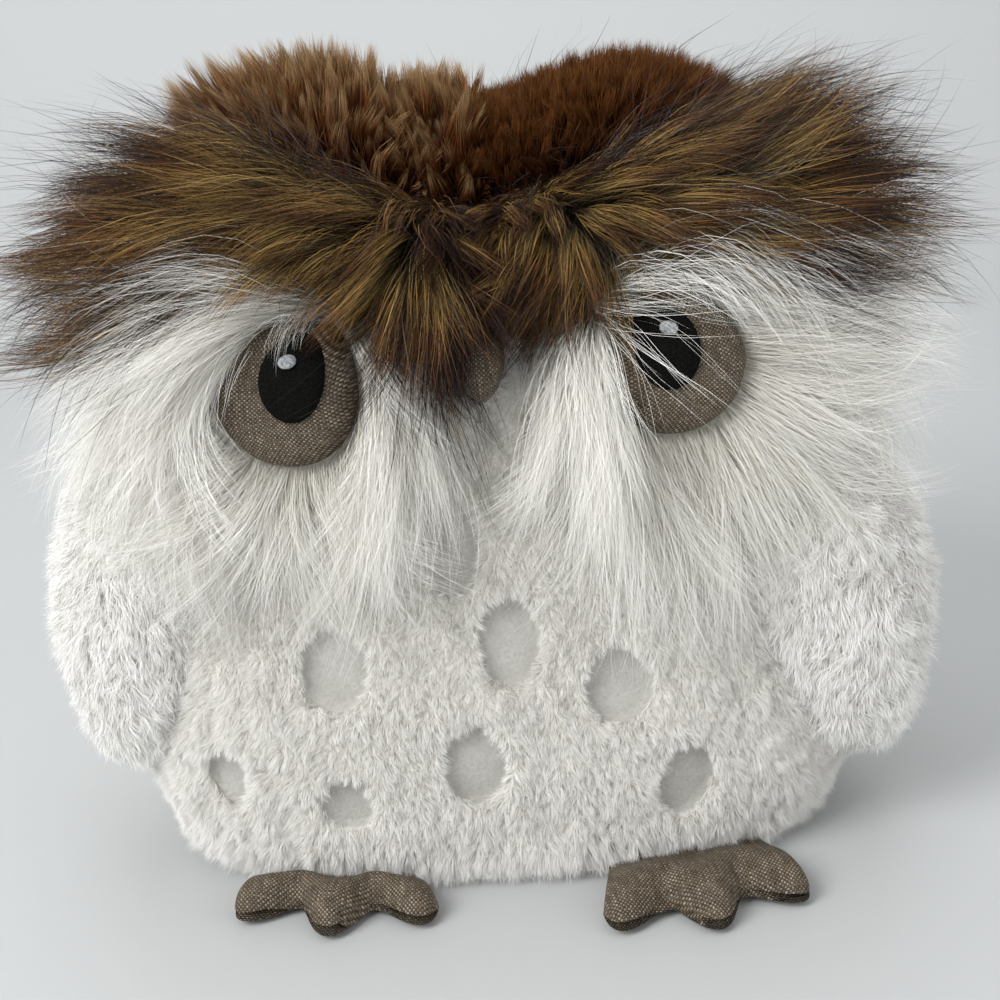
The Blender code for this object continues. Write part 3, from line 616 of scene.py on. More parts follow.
def linen_paint(name):
    """Taupe linen: two sets of threads over and under each other, some with a bronze glint."""
    paint = Paint(name)
    u, v = paint.on_map("Weave")
    crossing = paint.times(*(paint.math("SINE", paint.times(way, pi)) for way in (u, v)))
    over = paint.math("GREATER_THAN", crossing, 0.0)
    high = paint.math("POWER", paint.math("ABSOLUTE", crossing), 0.7)
    warp_line = paint.vector(paint.math("FLOOR", u), paint.times(v, 0.10))
    weft_line = paint.vector(paint.times(u, 0.10), paint.math("FLOOR", v), 7.0)
    warp = paint.ramp(paint.noise(warp_line, 1.3, 2.0), (
        (0.30, (0.13, 0.102, 0.070)), (0.50, (0.23, 0.186, 0.132)), (0.68, (0.43, 0.360, 0.272))))
    weft = paint.ramp(paint.noise(weft_line, 1.3, 2.0), (
        (0.32, (0.042, 0.030, 0.021)), (0.50, (0.083, 0.062, 0.043)),
        (0.68, (0.150, 0.114, 0.080))))
    shade = paint.ramp(high, ((0.05, (0.26, 0.25, 0.24)), (0.60, (1.0, 1.0, 1.0))))
    paint.bump(high, 0.0002)
    return paint.set(Base_Color=paint.mix(1.0, paint.mix(over, weft, warp), shade, "MULTIPLY"),
                     Specular_IOR_Level=0.20, Roughness=0.6).made


def felt_paint(name, colour, light):
    """Felt and silk: a fine nap, with painted shade in its hollows."""
    paint = Paint(name)
    fine = paint.noise(paint.place(), 1400.0, 4.0, 0.7)
    paint.bump(fine, 0.0004)
    return paint.set(Base_Color=paint.ramp(fine, ((0.35, colour), (0.75, light))),
                     Specular_IOR_Level=0.03, Roughness=0.95).made


PLAIN = (1.0, 1.0, 1.0)
# Its last two colours are the pressed ovals' tone: partly the flat nap's own, partly painted shade
plush_cloth = cloth_paint("plush_cloth", (0.86, 0.85, 0.82), (0.60, 0.58, 0.54),
                          ((0.38, 0.365, 0.335), (0.49, 0.48, 0.445)))
base_cloth = cloth_paint("base_cloth", (0.80, 0.79, 0.77), (0.55, 0.53, 0.50))
crown_cloth = cloth_paint("crown_cloth", (0.10, 0.035, 0.012), (0.03, 0.01, 0.004))
brow_cloth = cloth_paint("brow_cloth", (0.060, 0.045, 0.026), (0.018, 0.013, 0.008))
linen = linen_paint("taupe_linen_weave")
felt = felt_paint("black_felt_nap", (0.003, 0.003, 0.0027), (0.012, 0.012, 0.011))
glint_silk = felt_paint("glint_silk", (0.16, 0.17, 0.18), (0.62, 0.64, 0.66))
# Painted shade: the white pile is coloured darker toward the root, for the shade deep in the pile
white_pile = fur_paint("white_pile", (
    (0.00, (0.80, 0.78, 0.735)), (0.35, (0.90, 0.888, 0.858)), (0.80, (0.955, 0.95, 0.935))),
    ((0.30, (0.92, 0.915, 0.90)), (0.60, PLAIN)), 0.7)
# Painted shade: the long white fur is coloured darker toward the root, for the shade deep among its
# locks
white_fur = fur_paint("white_fur", (
    (0.00, (0.73, 0.70, 0.625)), (0.40, (0.885, 0.87, 0.825)), (0.85, (0.94, 0.93, 0.90))),
    ((0.32, (0.68, 0.66, 0.60)), (0.55, PLAIN)), 0.42)
brown_fur = fur_paint("brown_fur", (
    (0.00, (0.042, 0.037, 0.024)), (0.25, (0.078, 0.064, 0.036)), (0.46, (0.225, 0.148, 0.058)),
    (0.62, (0.085, 0.038, 0.016)), (0.78, (0.014, 0.006, 0.005))),
    ((0.39, (0.10, 0.08, 0.08)), (0.47, (0.50, 0.50, 0.50)), (0.59, (1.8, 1.7, 1.35))),
    0.5, 0.0, 0.15)
guard_hair = fur_paint("guard_hair", (
    (0.00, (0.030, 0.020, 0.012)), (0.40, (0.016, 0.008, 0.007)), (0.90, (0.008, 0.004, 0.005))),
    ((0.30, (0.8, 0.8, 0.8)), (0.60, (1.3, 1.1, 1.0))), 0.4, 0.0, 0.3)
chestnut = fur_paint("chestnut_pile", (
    (0.00, (0.018, 0.004, 0.002)), (0.45, (0.062, 0.016, 0.004)), (0.75, (0.135, 0.044, 0.009)),
    (1.00, (0.220, 0.095, 0.026))),
    ((0.34, (0.35, 0.30, 0.28)), (0.60, PLAIN)), 0.7, 0.0, 0.12)
gold_chestnut = fur_paint("gold_chestnut_pile", (
    (0.00, (0.022, 0.006, 0.003)), (0.36, (0.100, 0.024, 0.006)), (0.66, (0.205, 0.072, 0.020)),
    (0.94, (0.480, 0.330, 0.160))),
    ((0.34, (0.40, 0.34, 0.30)), (0.60, PLAIN)), 0.7, 0.0, 0.12)


# Coats. Strands: count, steps, length, width. How they stand: stand at the root, end at the tip,
# bend between. How they wave: frizz, turns, curl, droop, sweep over swirl. How they differ: stray
# and uneven from lock to lock, loose and ragged in a lock. How they keep to it: pull, gather, free.
# Face turns their flat side outward, and shift starts their colour nearer to the tip's.

PILE = dict(
    count=820000, locks=27000, steps=1, length=0.0036, width=0.00024, stand=1.15, bend=0.5,
    end=0.55, frizz=0.34, turns=0.4, curl=0.10, droop=0.0, stray=0.50, loose=0.7, uneven=0.24,
    ragged=0.22, pull=0.34, gather=1.0, free=0.10, face=1.4, sweep=0.0, swirl=0.02)
BACK_PILE = dict(PILE, count=230000, locks=11000, width=0.00044)
WING_PILE = dict(
    PILE, count=64000, locks=1800, steps=2, length=0.0062, stand=0.70, bend=0.7, end=0.22,
    sweep=0.5, pull=0.36)
CROWN_PILE = dict(
    PILE, count=80000, locks=3000, steps=3, length=0.0125, width=0.00030, stand=1.2, end=0.85,
    frizz=0.14, turns=0.3, curl=0.08, stray=1.2, loose=1.0, uneven=0.20, ragged=0.16, pull=0.55,
    face=0.6, sweep=0.4, swirl=0.03)
CROWN_TUFTS = dict(
    CROWN_PILE, locks=1300, width=0.00024, steps=4, length=0.0165, uneven=0.50, pull=0.84,
    gather=0.9, stray=0.8)
BROW_FUR = dict(
    count=24000, locks=460, steps=7, length=0.038, width=0.00021, stand=0.78, bend=1.5, end=0.07,
    frizz=0.09, turns=0.8, curl=0.08, droop=0.08, stray=0.26, loose=0.22, uneven=0.36, ragged=0.32,
    pull=0.80, gather=1.4, free=0.14, face=0.8, sweep=0.55, swirl=0.030, shift=0.42)
GUARD_HAIR = dict(
    BROW_FUR, count=2200, locks=300, length=0.046, width=0.00019, stand=0.95, end=0.15, frizz=0.14,
    stray=0.5, loose=0.6, pull=0.10, sweep=0.8, shift=0.0)
CROWN_HAIR = dict(GUARD_HAIR, count=520, length=0.024, droop=0.0, end=0.5)
FACE_FUR = dict(
    count=34000, locks=560, steps=7, length=0.037, width=0.00013, stand=0.58, bend=1.8, end=0.05,
    frizz=0.12, turns=1.0, curl=0.19, droop=0.45, stray=0.22, loose=0.13, uneven=0.40, ragged=0.42,
    pull=0.58, gather=1.1, free=0.16, face=1.2, sweep=1.3, swirl=0.026)
FACE_LOCK = dict(
    FACE_FUR, count=60000, locks=700, length=0.035, width=0.00015, stand=0.66, stray=0.10,
    uneven=0.25, free=0.06, sweep=0.5)


def pile_comb(points, facing):
    """Short pile is brushed down, with swirls broad and small."""
    turn = (0.8 * lumps(points, 0.055, 11) + 1.2 * lumps(points, 0.007, 12))[:, None]
    return along_skin(points) * np.sin(turn) - UP * np.cos(turn)


# Body and base

# How far pile lifts the cloth, and over what width beside a seam; a seam's depth and width
PILE_BASE, SEAM_SLOPE, SEAM_SINK, SEAM_GROOVE = 0.0026, 0.012, 0.0012, 0.003
# How far the side seams lie from the middle, and the turn by which each half keeps off them
SIDE_REACH, SEAM_TURN = 0.11, SEAM_GAP / 0.1


def oval_dent(bearing, height):
    """One in the embossed ovals, zero outside them."""
    places = [((radians(turn), level), 1.0, half) for turn, level, *half in OVALS]
    return ovals(places, 1.10, 0.16, bearing, height)


def clumps(points, seed):
    """Relief of brushed pile in metres: soft clumps, with partings between some of them."""
    parting = np.exp(-((lumps(points, 0.016, seed + 1) / 0.10) ** 2))
    parting = parting * ease(lumps(points, 0.050, seed + 2) * 1.5)
    return 0.0008 * lumps(points, 0.008, seed) - 0.0010 * parting


def body_cloth(name, first):
    """Half of the body's cloth, a little uneven from its filling, drawn in at its seams."""
    low, high = BASE_THICK + SEAM_GAP, CROWN_SEAM - SEAM_GAP
    height = (low + high) / 2 - (high - low) / 2 * np.cos(pi * np.arange(181) / 180)[:, None]
    bearing = first + pi * np.arange(241)[None, :] / 240 + 0 * height
    height = height + 0 * bearing
    bearing[:, 0] += SEAM_TURN
    bearing[:, -1] -= SEAM_TURN
    plain = skin(bearing, height)
    dent = oval_dent(bearing, height) * (np.cos(bearing) > 0)
    uneven = 0.0009 * lumps(plain, 0.075, 3) + 0.0004 * lumps(plain, 0.028, 4) - 0.0009
    seam = np.minimum(bearing - first, first + pi - bearing) * SIDE_REACH
    seam = np.minimum(seam, np.minimum(height - BASE_THICK, CROWN_SEAM - height))
    covered = np.maximum(under_face(bearing, height), under_wing(bearing, height))
    bare_share = (1 - dent) * (1 - covered)
    uneven = uneven + (PILE_BASE + clumps(plain, 5)) * bare_share * ease(seam / SEAM_SLOPE)
    uneven = uneven - SEAM_SINK * np.exp(-seam / SEAM_GROOVE)
    outer, inner = skin(bearing, height, uneven), skin(bearing, height, -CLOTH_THICK)
    rows, columns = outer.shape[:2]
    points = np.concatenate((outer.reshape(-1, 3), inner.reshape(-1, 3)))
    faces = grid_quads(rows, columns, False) + grid_quads(rows, columns, False, rows * columns)
    grid = np.arange(rows * columns).reshape(rows, columns)
    rim = np.concatenate((grid[0], grid[1:, -1], grid[-1, -2::-1], grid[-2:0:-1, 0]))
    faces += band(rim, rim + rows * columns)
    made = piece(name, points, faces, plush_cloth, "body")
    # Share of each point that takes the pressed tone, which is partly painted shade
    pressed_shaded = np.concatenate((dent.ravel(), 0 * dent.ravel())).astype(np.float32)
    made.data.attributes.new("Pressed_shaded", "FLOAT", "POINT").data.foreach_set("value", pressed_shaded)
    return made


def brow_low(bearing):
    """Height of the brows' lower edge at a bearing, from the middle outward."""
    way = np.clip(np.abs(bearing) / BROW_END, 0.0, 1.0)
    steps = np.linspace(0.0, 1.0, 60)
    low = [table(BROW_SHARES, step)[0] for step in steps]
    return BROW_V + np.interp(way, steps, low) * (BROW_TOP - BROW_V)


def under_face(bearing, height):
    """One under the brows, the fur patches and the beak, easing to zero at their edges."""
    brows = ease((height - brow_low(bearing) + 0.004) / 0.004)
    brows = brows * ease((BROW_END - np.abs(bearing)) / 0.10)
    patches = [((PATCH_BEARING, PATCH_HEIGHT + rise), side, PATCH_HALF)
               for side, rise in EYE_RISE.items()]
    patches = ovals(patches, 1.0, 0.10, bearing, height)
    beak = ovals([((0.0, BEAK_HEIGHT), 1.0, BEAK_HALF)], 1.15, 0.15, bearing, height)
    return np.maximum(np.maximum(brows, patches), beak) * (np.cos(bearing) > 0)


def under_wing(bearing, height):
    """One under a wing, where the pile is pressed flat, easing to zero at its edge."""
    total = np.zeros(np.shape(bearing))
    for side, (wing_bearing, tilt, drop) in WING_PLACE.items():
        middle = WING_SEAM - drop - WING_LENGTH * 0.5
        way = np.clip((WING_SEAM - drop - height) / WING_LENGTH, 0.0, 1.0)
        place = ((wing_bearing, middle), side, (WING_WIDTH / 2, WING_LENGTH / 2))
        upright = bearing - side * way * tilt
        total = np.maximum(total, ovals([place], 1.10, 0.20, upright, height))
    return total


def pile_keep(points, facing):
    bearing, height = bearings(points), points[:, 2]
    dent = oval_dent(bearing, height) * (np.cos(bearing) > 0)
    return (under_face(bearing, height) < 0.5) & (dent < 0.6)


def pile_size(points, facing):
    """Pile is shorter under and round the wings, and longer where it hangs to the floor."""
    wave = 1 + 0.20 * lumps(points, 0.012, 17)
    fringe = 1 + 0.9 * ease((0.020 - points[:, 2]) / 0.014)
    return (1 - 0.75 * under_wing(bearings(points), points[:, 2])) * wave * fringe


front = body_cloth("front_plush", -pi / 2)
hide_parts("body_front_panel", "body_filling", "pellet_pouch")
back = body_cloth("back_plush", pi / 2)
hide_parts("body_back_panel")
for word, cloth, coat, seed in (("front", front, PILE, 21), ("back", back, BACK_PILE, 22)):
    grow(f"pile_{word}", cloth, coat, white_pile, "white_plush", "body", seed,
         pile_keep, pile_comb, pile_size)


def base():
    """The flat underside, pressed plush with a rounded edge."""
    spokes = 160
    edge = skin(tau * np.arange(spokes) / spokes, BASE_THICK + SEAM_GAP)
    # Share of the edge's reach and height, from the floor round the edge and in to the middle
    profile = ((1 - 0.0006 / 0.09, 0.0), (1, 0.0009), (1, 0.0022), (1 - 0.0008 / 0.09, 0.0030),
               (0.7, 0.0030), (0.35, 0.0030))
    rings = [edge * LEVEL * share + UP * level for share, level in profile]
    made = piece("base_plush", rings, capped(len(rings), spokes), base_cloth, "body")
    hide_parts("base_panel")


base()


# Crown


def crown():
    """The cap of dense pile: its cloth over the filling, and the clumps that stand on it."""
    rows, columns = 26, 160
    turn = (tau * np.arange(columns) / columns)[None, :]
    grids = []
    for grow_by in (0.0012, -CLOTH_THICK):
        reach = BODY_TALL - WIDEST + grow_by
        level = (CROWN_SEAM + SEAM_GAP - WIDEST) / reach
        start = np.arctan2(level ** (HIGH_SQUARE / 2), (1 - level**HIGH_SQUARE) ** 0.5)
        climb = start + (pi / 2 - start) * np.arange(rows)[:, None] / rows
        height = WIDEST + reach * np.sin(climb) ** (2.0 / HIGH_SQUARE)
        grids.append(skin(turn + 0 * height, height + 0 * turn, grow_by))
    outer, inner = grids
    outer = outer + UP * 0.0010 * lumps(outer, 0.05, 5)[..., None]
    points = [grid.reshape(-1, 3) for grid in (outer, inner)]
    points += [grid[-1].mean(axis=0)[None, :] for grid in (outer, inner)]
    half = rows * columns
    faces = grid_quads(rows, columns, True) + grid_quads(rows, columns, True, half)
    for i in range(columns):
        j = (i + 1) % columns
        faces.append((i, j, half + j, half + i))
        for last, pole in ((half, 2 * half), (2 * half, 2 * half + 1)):
            faces.append((last - columns + i, last - columns + j, pole))
    made = piece("crown_cloth", np.concatenate(points), faces, crown_cloth, "body")
    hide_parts("crown_panel")

    def comb(points, facing):
        return np.cross(facing, UP) * lumps(points, 0.03, 8)[:, None] + points * LEVEL * 6

    def size(points, facing):
        return 0.88 + 0.22 * ease((np.abs(points[:, 0]) - 0.015) / 0.04)

    def stands(points, facing):
        return facing[:, 2] > 0.2

    coats = (("left", 1, 31, CROWN_PILE, chestnut), ("right", -1, 32, CROWN_TUFTS, gold_chestnut))
    for word, side, seed, coat, paint in coats:
        def keep(points, facing, side=side):
            return (facing[:, 2] > -0.3) & (points[:, 0] * side >= -0.004)

        grow(f"crown_pile_{word}", made, coat, paint, "chestnut_pile", "body", seed, keep, comb,
             size)
    grow("crown_guard_hair", made, CROWN_HAIR, guard_hair, "brown_fur", "body", 33, stands, comb)


crown()


# Brows

# The stuffed band under a brow's fur: its thickness, and its length as a share of the brow's
BAND_THICK, BAND_LONG = 0.0125, 0.93
# How each brow's fur lies at these distances from the middle: its turn from outward in degrees
# and its length, each along the top edge, the middle and the low edge, and how dark it is
BROW_STEPS = (0.0, 0.013, 0.023, 0.040, 0.060, 0.085)
BROW_FLOW = {
    1.0: {"turn": ((-60, -40, -25, -10, -2, -10), (-92, -108, -98, -40, -8, -14),
                   (-90, -110, -128, -66, -14, -28)),
          "size": ((0.35, 0.60, 0.75, 0.90, 1.10, 1.00), (0.30, 0.50, 0.62, 0.80, 1.10, 1.15),
                   (0.22, 0.42, 0.52, 0.56, 0.80, 1.10)),
          "dark": (0.80, 0.65, 0.50, 0.45, 0.50, 0.60)},
    -1.0: {"turn": ((-84, -74, -12, -4, -26, -50), (-92, -88, -18, -8, -18, -34),
                    (-92, -94, -34, -14, -14, -18)),
           "size": ((0.30, 0.55, 0.75, 1.00, 1.00, 0.62), (0.40, 1.00, 0.80, 1.00, 1.15, 1.00),
                    (0.34, 1.30, 0.45, 0.55, 0.95, 1.10)),
           "dark": (0.95, 0.95, 0.30, 0.10, 0.40, 0.60)},
}


def brow(side, word, seed):
    """A brow: a thin stuffed band under the crown's seam, and the long fur that grows on it."""
    steps, across = 44, 18
    top, under = [], []
    share = -np.cos(pi * np.arange(across + 1) / across)
    for step in range(steps + 1):
        way = sin(pi / 2 * step / steps)
        low_share, thick_share = table(BROW_SHARES, way)
        low = BROW_V + low_share * (BROW_TOP - BROW_V)
        high = BROW_TOP - 0.10 * way * (BROW_TOP - BROW_V)
        begin = BROW_GAP / (2 * BODY_FRONT)
        bearing = begin + (BROW_END * BAND_LONG - begin) * way
        height = (high + low) / 2 + (high - low) / 2 * share
        leaned = share - 0.30 * (1 - share * share)
        thick = BAND_THICK * thick_share * dome(leaned)
        top.append(skin(side * bearing, height, LAYER_GAP + thick))
        under.append(skin(side * bearing, height, LAYER_GAP))
    made = sack(f"brow_{word}_cloth", np.array(top), np.array(under), brow_cloth,
                "body")
    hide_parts(f"brow_{word}")

    flow = BROW_FLOW[side]

    def lie(rows, points):
        """A table's value at each point, by its place between the brow's edges."""
        reach = BROW_TOP - brow_low(bearings(points))
        share = 2 * np.clip((BROW_TOP - points[:, 2]) / reach, 0.0, 1.0)
        top, middle, low = (np.interp(np.abs(points[:, 0]), BROW_STEPS, row) for row in rows)
        lower = middle + (low - middle) * (share - 1)
        return np.where(share < 1, top + (middle - top) * share, lower)

    def comb(points, facing):
        turn = np.radians(lie(flow["turn"], points))[:, None]
        return along_skin(points) * side * np.cos(turn) + UP * np.sin(turn)

    def size(points, facing):
        return lie(flow["size"], points)

    def shade(points, facing):
        dark = np.interp(np.abs(points[:, 0]), BROW_STEPS, flow["dark"])
        dark = dark + 0.45 * lumps(points, 0.012, seed)
        return BROW_FUR["shift"] * np.clip(dark, 0.0, 1.0)

    grow(f"brow_{word}_fur", made, BROW_FUR, brown_fur, "brown_fur", "body", seed,
         always(True), comb, size, shade)
    grow(f"brow_{word}_guard_hair", made, GUARD_HAIR, guard_hair, "brown_fur", "body", seed + 20,
         always(True), comb, size)


brow(1.0, "left", 41)
brow(-1.0, "right", 42)


# Eyes and beak

# Metres from thread to thread of the linen
PITCH = 0.00066


def add_weave(obj, across, rise=UP, rim=0.6):
    """A map whose units are threads, for the linen, let out where the cloth turns down its rim."""
    across, rise = unit(np.array(across)), unit(np.array(rise))
    points = read(obj.data.vertices, "co")
    points = points - (points.max(axis=0) + points.min(axis=0)) / 2
    flat = np.stack((points @ across, points @ rise), axis=1)
    away = points @ np.cross(across, rise)
    reach = np.linalg.norm(flat, axis=1)
    drop = np.minimum(away.max() - away, 0.004) * ease(reach / 0.010)
    flat = flat * (1 + rim * drop / np.maximum(reach, 0.001))[:, None]
    loops = read(obj.data.loops, "vertex_index", 1, np.int32)[:, 0]
    layer = obj.data.uv_layers.new(name="Weave")
    layer.data.foreach_set("uv", (flat / PITCH + 200)[loops].astype(np.float32).ravel())


# How far the eyes lie from the body's middle line
FACE_REACH = 0.085
# Between these angles round each eye, from its outer side, a thick lock falls over the disc
LOCK_RANGE = {1.0: (134.0, 195.0), -1.0: (58.0, 104.0)}

# How the face fur lies round each eye: angle from its outer side, outward, upward, length
FACE_FLOW = {
    1.0: ((0, 1.0, -0.20, 1.05), (45, 1.0, -0.08, 1.15), (90, 1.0, 0.02, 1.10),
          (126, 0.95, 0.12, 1.10), (136, 0.45, -0.90, 1.00), (165, 0.40, -0.95, 1.20),
          (195, 0.28, -1.0, 1.30), (225, 0.10, -1.0, 1.30), (270, 0.15, -1.0, 1.20),
          (315, 0.65, -0.8, 1.05), (360, 1.0, -0.20, 1.05)),
    -1.0: ((0, 1.0, -0.60, 1.00), (45, 1.0, -0.92, 1.10), (84, 1.0, -0.66, 1.20),
           (108, 1.0, -0.36, 0.95), (128, 1.0, -0.22, 0.80), (138, -0.2, -1.0, 1.00),
           (200, -0.15, -1.0, 1.15), (270, 0.15, -1.0, 1.00), (315, 0.75, -0.85, 1.00),
           (360, 1.0, -0.60, 1.00)),
}


def face(side, word, seed):
    """Fur patch, linen eye disc, felt pupil and embroidered glint."""
    rise = EYE_RISE[side]
    eye_spot = (EYE_BEARING, EYE_HEIGHT + rise)

    def folds(ring, angle):
        wave = np.sin(9 * angle + 1.3 * side) * 0.35 + np.sin(5 * angle + seed) * 0.3
        return 0.00055 * wave * np.exp(-((ring - 0.86) / 0.13) ** 2)

    patch, under = layer("face_patch", word, "cloth", (PATCH_BEARING, PATCH_HEIGHT + rise), side,
                         PATCH_HALF, PATCH_THICK, bare, plush_cloth, "white_long_fur", 0.8,
                         fill=0.7)
    disc, under = layer("eye_disc", word, "linen", eye_spot, side, EYE_HALF, EYE_THICK, under,
                        linen, "taupe_linen", relief=folds)
    add_weave(disc, (cos(EYE_BEARING), side * sin(EYE_BEARING), 0.0))
    _, under = layer("pupil", word, "felt", (PUPIL_BEARING, PUPIL_HEIGHT + rise), side, PUPIL_HALF,
                     PUPIL_THICK, under, felt, "black_felt", rings=14, spokes=64, fill=0.4)
    layer("eye_glint", word, "silk", (PUPIL_BEARING, GLINT_HEIGHT + rise), side, GLINT_HALF,
          GLINT_THICK, under, glint_silk, "glint_thread", rings=6, spokes=24, fill=0.5)

    flow = np.array(FACE_FLOW[side])

    def around(points):
        """Angle round the eye from its outer side, in degrees: up is at 90."""
        across = (side * bearings(points) - EYE_BEARING) * FACE_REACH
        return np.degrees(np.arctan2(points[:, 2] - eye_spot[1], across)) % 360

    def comb(points, facing):
        turn = around(points)
        out, rise = (np.interp(turn, flow[:, 0], flow[:, k])[:, None] for k in (1, 2))
        return along_skin(points) * side * out + UP * rise

    def size(points, facing):
        return np.interp(around(points), flow[:, 0], flow[:, 3])

    def keep(points, facing):
        return oval_share(eye_spot, side, EYE_HALF, bearings(points), points[:, 2]) > 0.97

    def in_lock(points, facing):
        turn = around(points)
        low, high = LOCK_RANGE[side]
        return keep(points, facing) & (turn > low) & (turn < high)

    grow(f"face_fur_{word}", patch, FACE_FUR, white_fur, "white_long_fur", "body", seed, keep,
         comb, size)
    grow(f"face_lock_{word}", patch, FACE_LOCK, white_fur, "white_long_fur", "body", seed + 5,
         in_lock, comb, size)


face(1.0, "left", 51)
face(-1.0, "right", 52)


def beak():
    made = pad("beak_linen", (0.0, BEAK_HEIGHT), 1.0, BEAK_HALF, BEAK_THICK, bare, linen,
               "taupe_linen", rings=22, spokes=72, taper=BEAK_TAPER, fill=0.9)
    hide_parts("beak")
    add_weave(made, (1.0, 0.0, 0.0))


beak()


# Wings


def wing_dent(side, bearing, height):
    """One in the ovals embossed on a wing, zero outside them."""
    places = [((radians(turn), level), side, WING_OVAL_HALF) for turn, level in WING_OVALS[side]]
    return ovals(places, 1.15, 0.35, bearing, height)


def wing(side, word, seed):
    """A wing: a stuffed plush sack that hangs from its seam."""
    body = f"wing_{word}"
    place, tilt, drop = WING_PLACE[side]
    rows, across = 60, 28
    share = -np.cos(pi * np.arange(across + 1) / across)
    top, low, flat = [], [], []
    for step in range(rows):
        way = WING_SHARES[-1][0] * (0.5 - 0.5 * cos(pi * step / (rows - 1)))
        width_share, thick_share = table(WING_SHARES, way)
        height = WING_SEAM - drop - way * WING_LENGTH
        middle = place + way * tilt
        half = WING_WIDTH / 2 * width_share * share
        bearing = side * (middle + half / skin_speed(middle, height))
        thick = WING_THICK * thick_share * dome(share)
        top.append(skin(bearing, height + 0 * share, WING_GAP + thick))
        low.append(skin(bearing, height + 0 * share, WING_GAP))
        flat.append(wing_dent(side, bearing, height + 0 * share))
    top, low, flat = np.array(top), np.array(low), np.array(flat)
    uneven = 0.0016 * lumps(top, 0.05, seed) + 0.0007 * lumps(top, 0.02, seed + 1)
    edge = dome(share)[None, :, None]
    sunk = (0.0006 - uneven + 0.0030 * flat)[..., None]
    top = top - unit(top * LEVEL) * sunk * edge
    made = sack(f"wing_{word}_plush", top, low, plush_cloth, body)
    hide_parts(f"wing_{word}_cover", f"wing_{word}_filling")

    def keep(points, facing):
        away = points - skin(bearings(points), np.clip(points[:, 2], 0.0, CROWN_SEAM))
        return np.linalg.norm(away, axis=1) > 2 * WING_GAP

    def size(points, facing):
        wave = 1 + 0.20 * lumps(points, 0.014, seed + 2)
        return (1 - 0.80 * wing_dent(side, bearings(points), points[:, 2])) * wave

    def comb(points, facing):
        swirl = lumps(points, 0.05, seed + 3)[:, None]
        return -UP - along_skin(points) * side * (0.25 + 0.6 * swirl)

    grow(f"wing_{word}_pile", made, WING_PILE, white_pile, "white_plush", body, seed,
         keep, comb, size)


wing(1.0, "left", 61)
wing(-1.0, "right", 62)


# Feet

# How far apart the toes lie in half breadths of the foot, and how pointed they are
TOE_PITCH, TOE_POINT = 0.80, 1.9
# Shares: of a foot's length where it begins to fall, and of its thickness at its root, taken off
# at a notch, and under the level of its rim
TOE_FALL, FOOT_LOW, NOTCH_SINK, FOOT_SOLE = 0.65, 0.28, 0.30, 0.2


def toe_share(across):
    return np.abs(np.cos(pi * across / TOE_PITCH)) ** TOE_POINT


def foot(side, word):
    """A foot of linen with three toes, padded behind them."""
    body = f"foot_{word}"
    across = np.sin(pi / 2 * np.linspace(-1, 1, 61))[None, :]
    along = (0.99 * np.sin(pi / 2 * np.linspace(0, 1, 40)))[:, None]
    speed = skin_speed(FOOT_BEARING, FOOT_ROOT)
    middle = skin(side * FOOT_BEARING, FOOT_ROOT, LAYER_GAP)
    root = skin(side * (FOOT_BEARING + across * FOOT_WIDTH / 2 / speed), FOOT_ROOT, LAYER_GAP)
    angle = side * across * FOOT_FAN
    reach = FOOT_REACH - FOOT_NOTCH * (1 - toe_share(across))
    ahead = reach * np.cos(angle) - (FOOT_REACH - FOOT_LENGTH[side])
    aside = reach * np.sin(angle)
    turn = side * FOOT_TURN
    edge_x = middle[0] + aside * cos(turn) + ahead * sin(turn)
    edge_y = middle[1] + aside * sin(turn) - ahead * cos(turn)
    x = root[..., 0] + (edge_x - root[..., 0]) * along
    y = root[..., 1] + (edge_y - root[..., 1]) * along
    climb = FOOT_LOW + (1 - FOOT_LOW) * ease(along / TOE_FALL)
    length = np.where(along < TOE_FALL, climb, dome((along - TOE_FALL) / (1 - TOE_FALL)))
    puff = length * dome(across, 5.0) * (1 - NOTCH_SINK * (1 - toe_share(across)) * along)
    level = FOOT_LIFT + FOOT_SOLE * FOOT_THICK
    top = np.stack((x, y, level + (1 - FOOT_SOLE) * FOOT_THICK * puff), axis=-1)
    low = np.stack((x, y, level - FOOT_SOLE * FOOT_THICK * puff), axis=-1)
    made = sack(f"foot_{word}_linen", top, low, linen, body)
    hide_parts(f"foot_{word}_cover", f"foot_{word}_filling")
    add_weave(made, (cos(turn), sin(turn), 0.0), (sin(turn), -cos(turn), -0.7), rim=0.0)


foot(1.0, "left")
foot(-1.0, "right")


# Room, lamps and camera

# What the camera and the lamps look at
AIM = Vector((0.0, 0.0, 0.100))


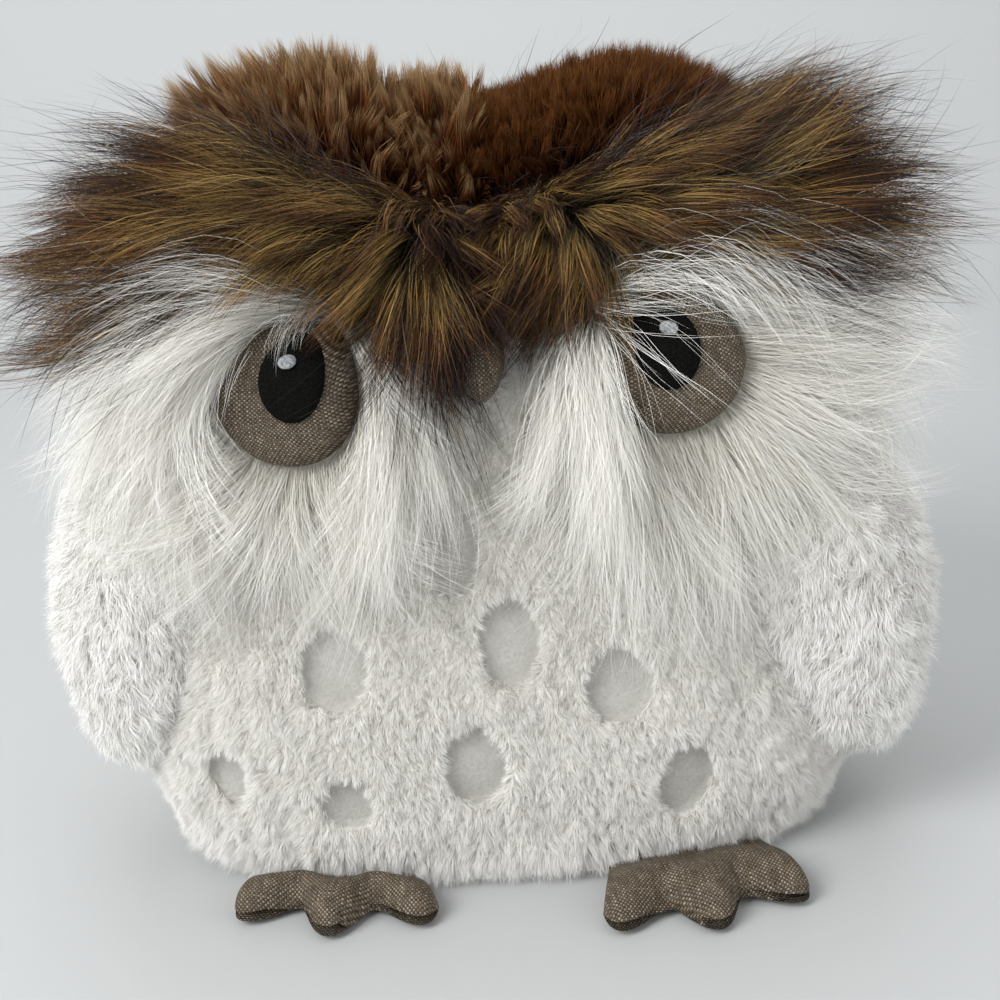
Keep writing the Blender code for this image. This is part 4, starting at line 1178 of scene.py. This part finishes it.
def room():
    """A pale sheet under and behind the owl."""
    reach, drop, bend = 3.0, 1.6, 0.5
    profile = [(-reach, 0.0), (0.6, 0.0)]
    profile += [(0.6 + bend * sin(a), bend * (1 - cos(a))) for a in np.linspace(0, pi / 2, 12)[1:]]
    profile.append((0.6 + bend, bend + drop))
    points = [(x, y, z) for y, z in profile for x in (-reach, reach)]
    faces = [(2 * i, 2 * i + 1, 2 * i + 3, 2 * i + 2) for i in range(len(profile) - 1)]
    mesh = bpy.data.meshes.new("room")
    mesh.from_pydata(points, [], faces)
    mesh.polygons.foreach_set("use_smooth", [True] * len(faces))
    paint = Paint("room_sheet")
    paint.set(Base_Color=(0.50, 0.51, 0.51, 1.0), Roughness=0.45)
    mesh.materials.append(paint.made)
    made = bpy.data.objects.new("room", mesh)
    bpy.context.collection.objects.link(made)


def lamp(name, place, size, power):
    """A square lamp turned toward the owl."""
    data = bpy.data.lights.new(name, "AREA")
    data.size, data.energy = size, power
    made = bpy.data.objects.new(name, data)
    made.location = place
    made.rotation_euler = (AIM - Vector(place)).to_track_quat("-Z", "Y").to_euler()
    bpy.context.collection.objects.link(made)


def camera():
    """The photograph's view: a little above, tipped a few degrees, slightly off centre."""
    place, roll = Vector((0.0, -0.5638, 0.3052)), radians(4.0)
    data = bpy.data.cameras.new("photo_view")
    data.sensor_width, data.lens = 36.0, 64.7
    data.shift_x = 0.011
    data.clip_start = 0.01
    made = bpy.data.objects.new("photo_view", data)
    bpy.context.collection.objects.link(made)
    made.matrix_world = (Matrix.Translation(place)
                         @ (AIM - place).to_track_quat("-Z", "Y").to_matrix().to_4x4()
                         @ Matrix.Rotation(-roll, 4, "Z"))
    bpy.context.scene.camera = made


room()
lamp("key", (-1.0, -1.0, 1.2), 0.9, 29.0)
lamp("fill", (1.2, -0.9, 0.7), 1.2, 5.0)
lamp("top", (0.0, 0.3, 1.6), 1.4, 10.0)
camera()

world = bpy.data.worlds.new("room_light")
bpy.context.scene.world = world
world.use_nodes = True
sky = world.node_tree.nodes["Background"].inputs
sky["Color"].default_value, sky["Strength"].default_value = (0.95, 0.97, 1.0, 1.0), 0.56
bpy.context.scene.view_settings.view_transform = "Standard"
bpy.context.scene.cycles.diffuse_bounces = 10
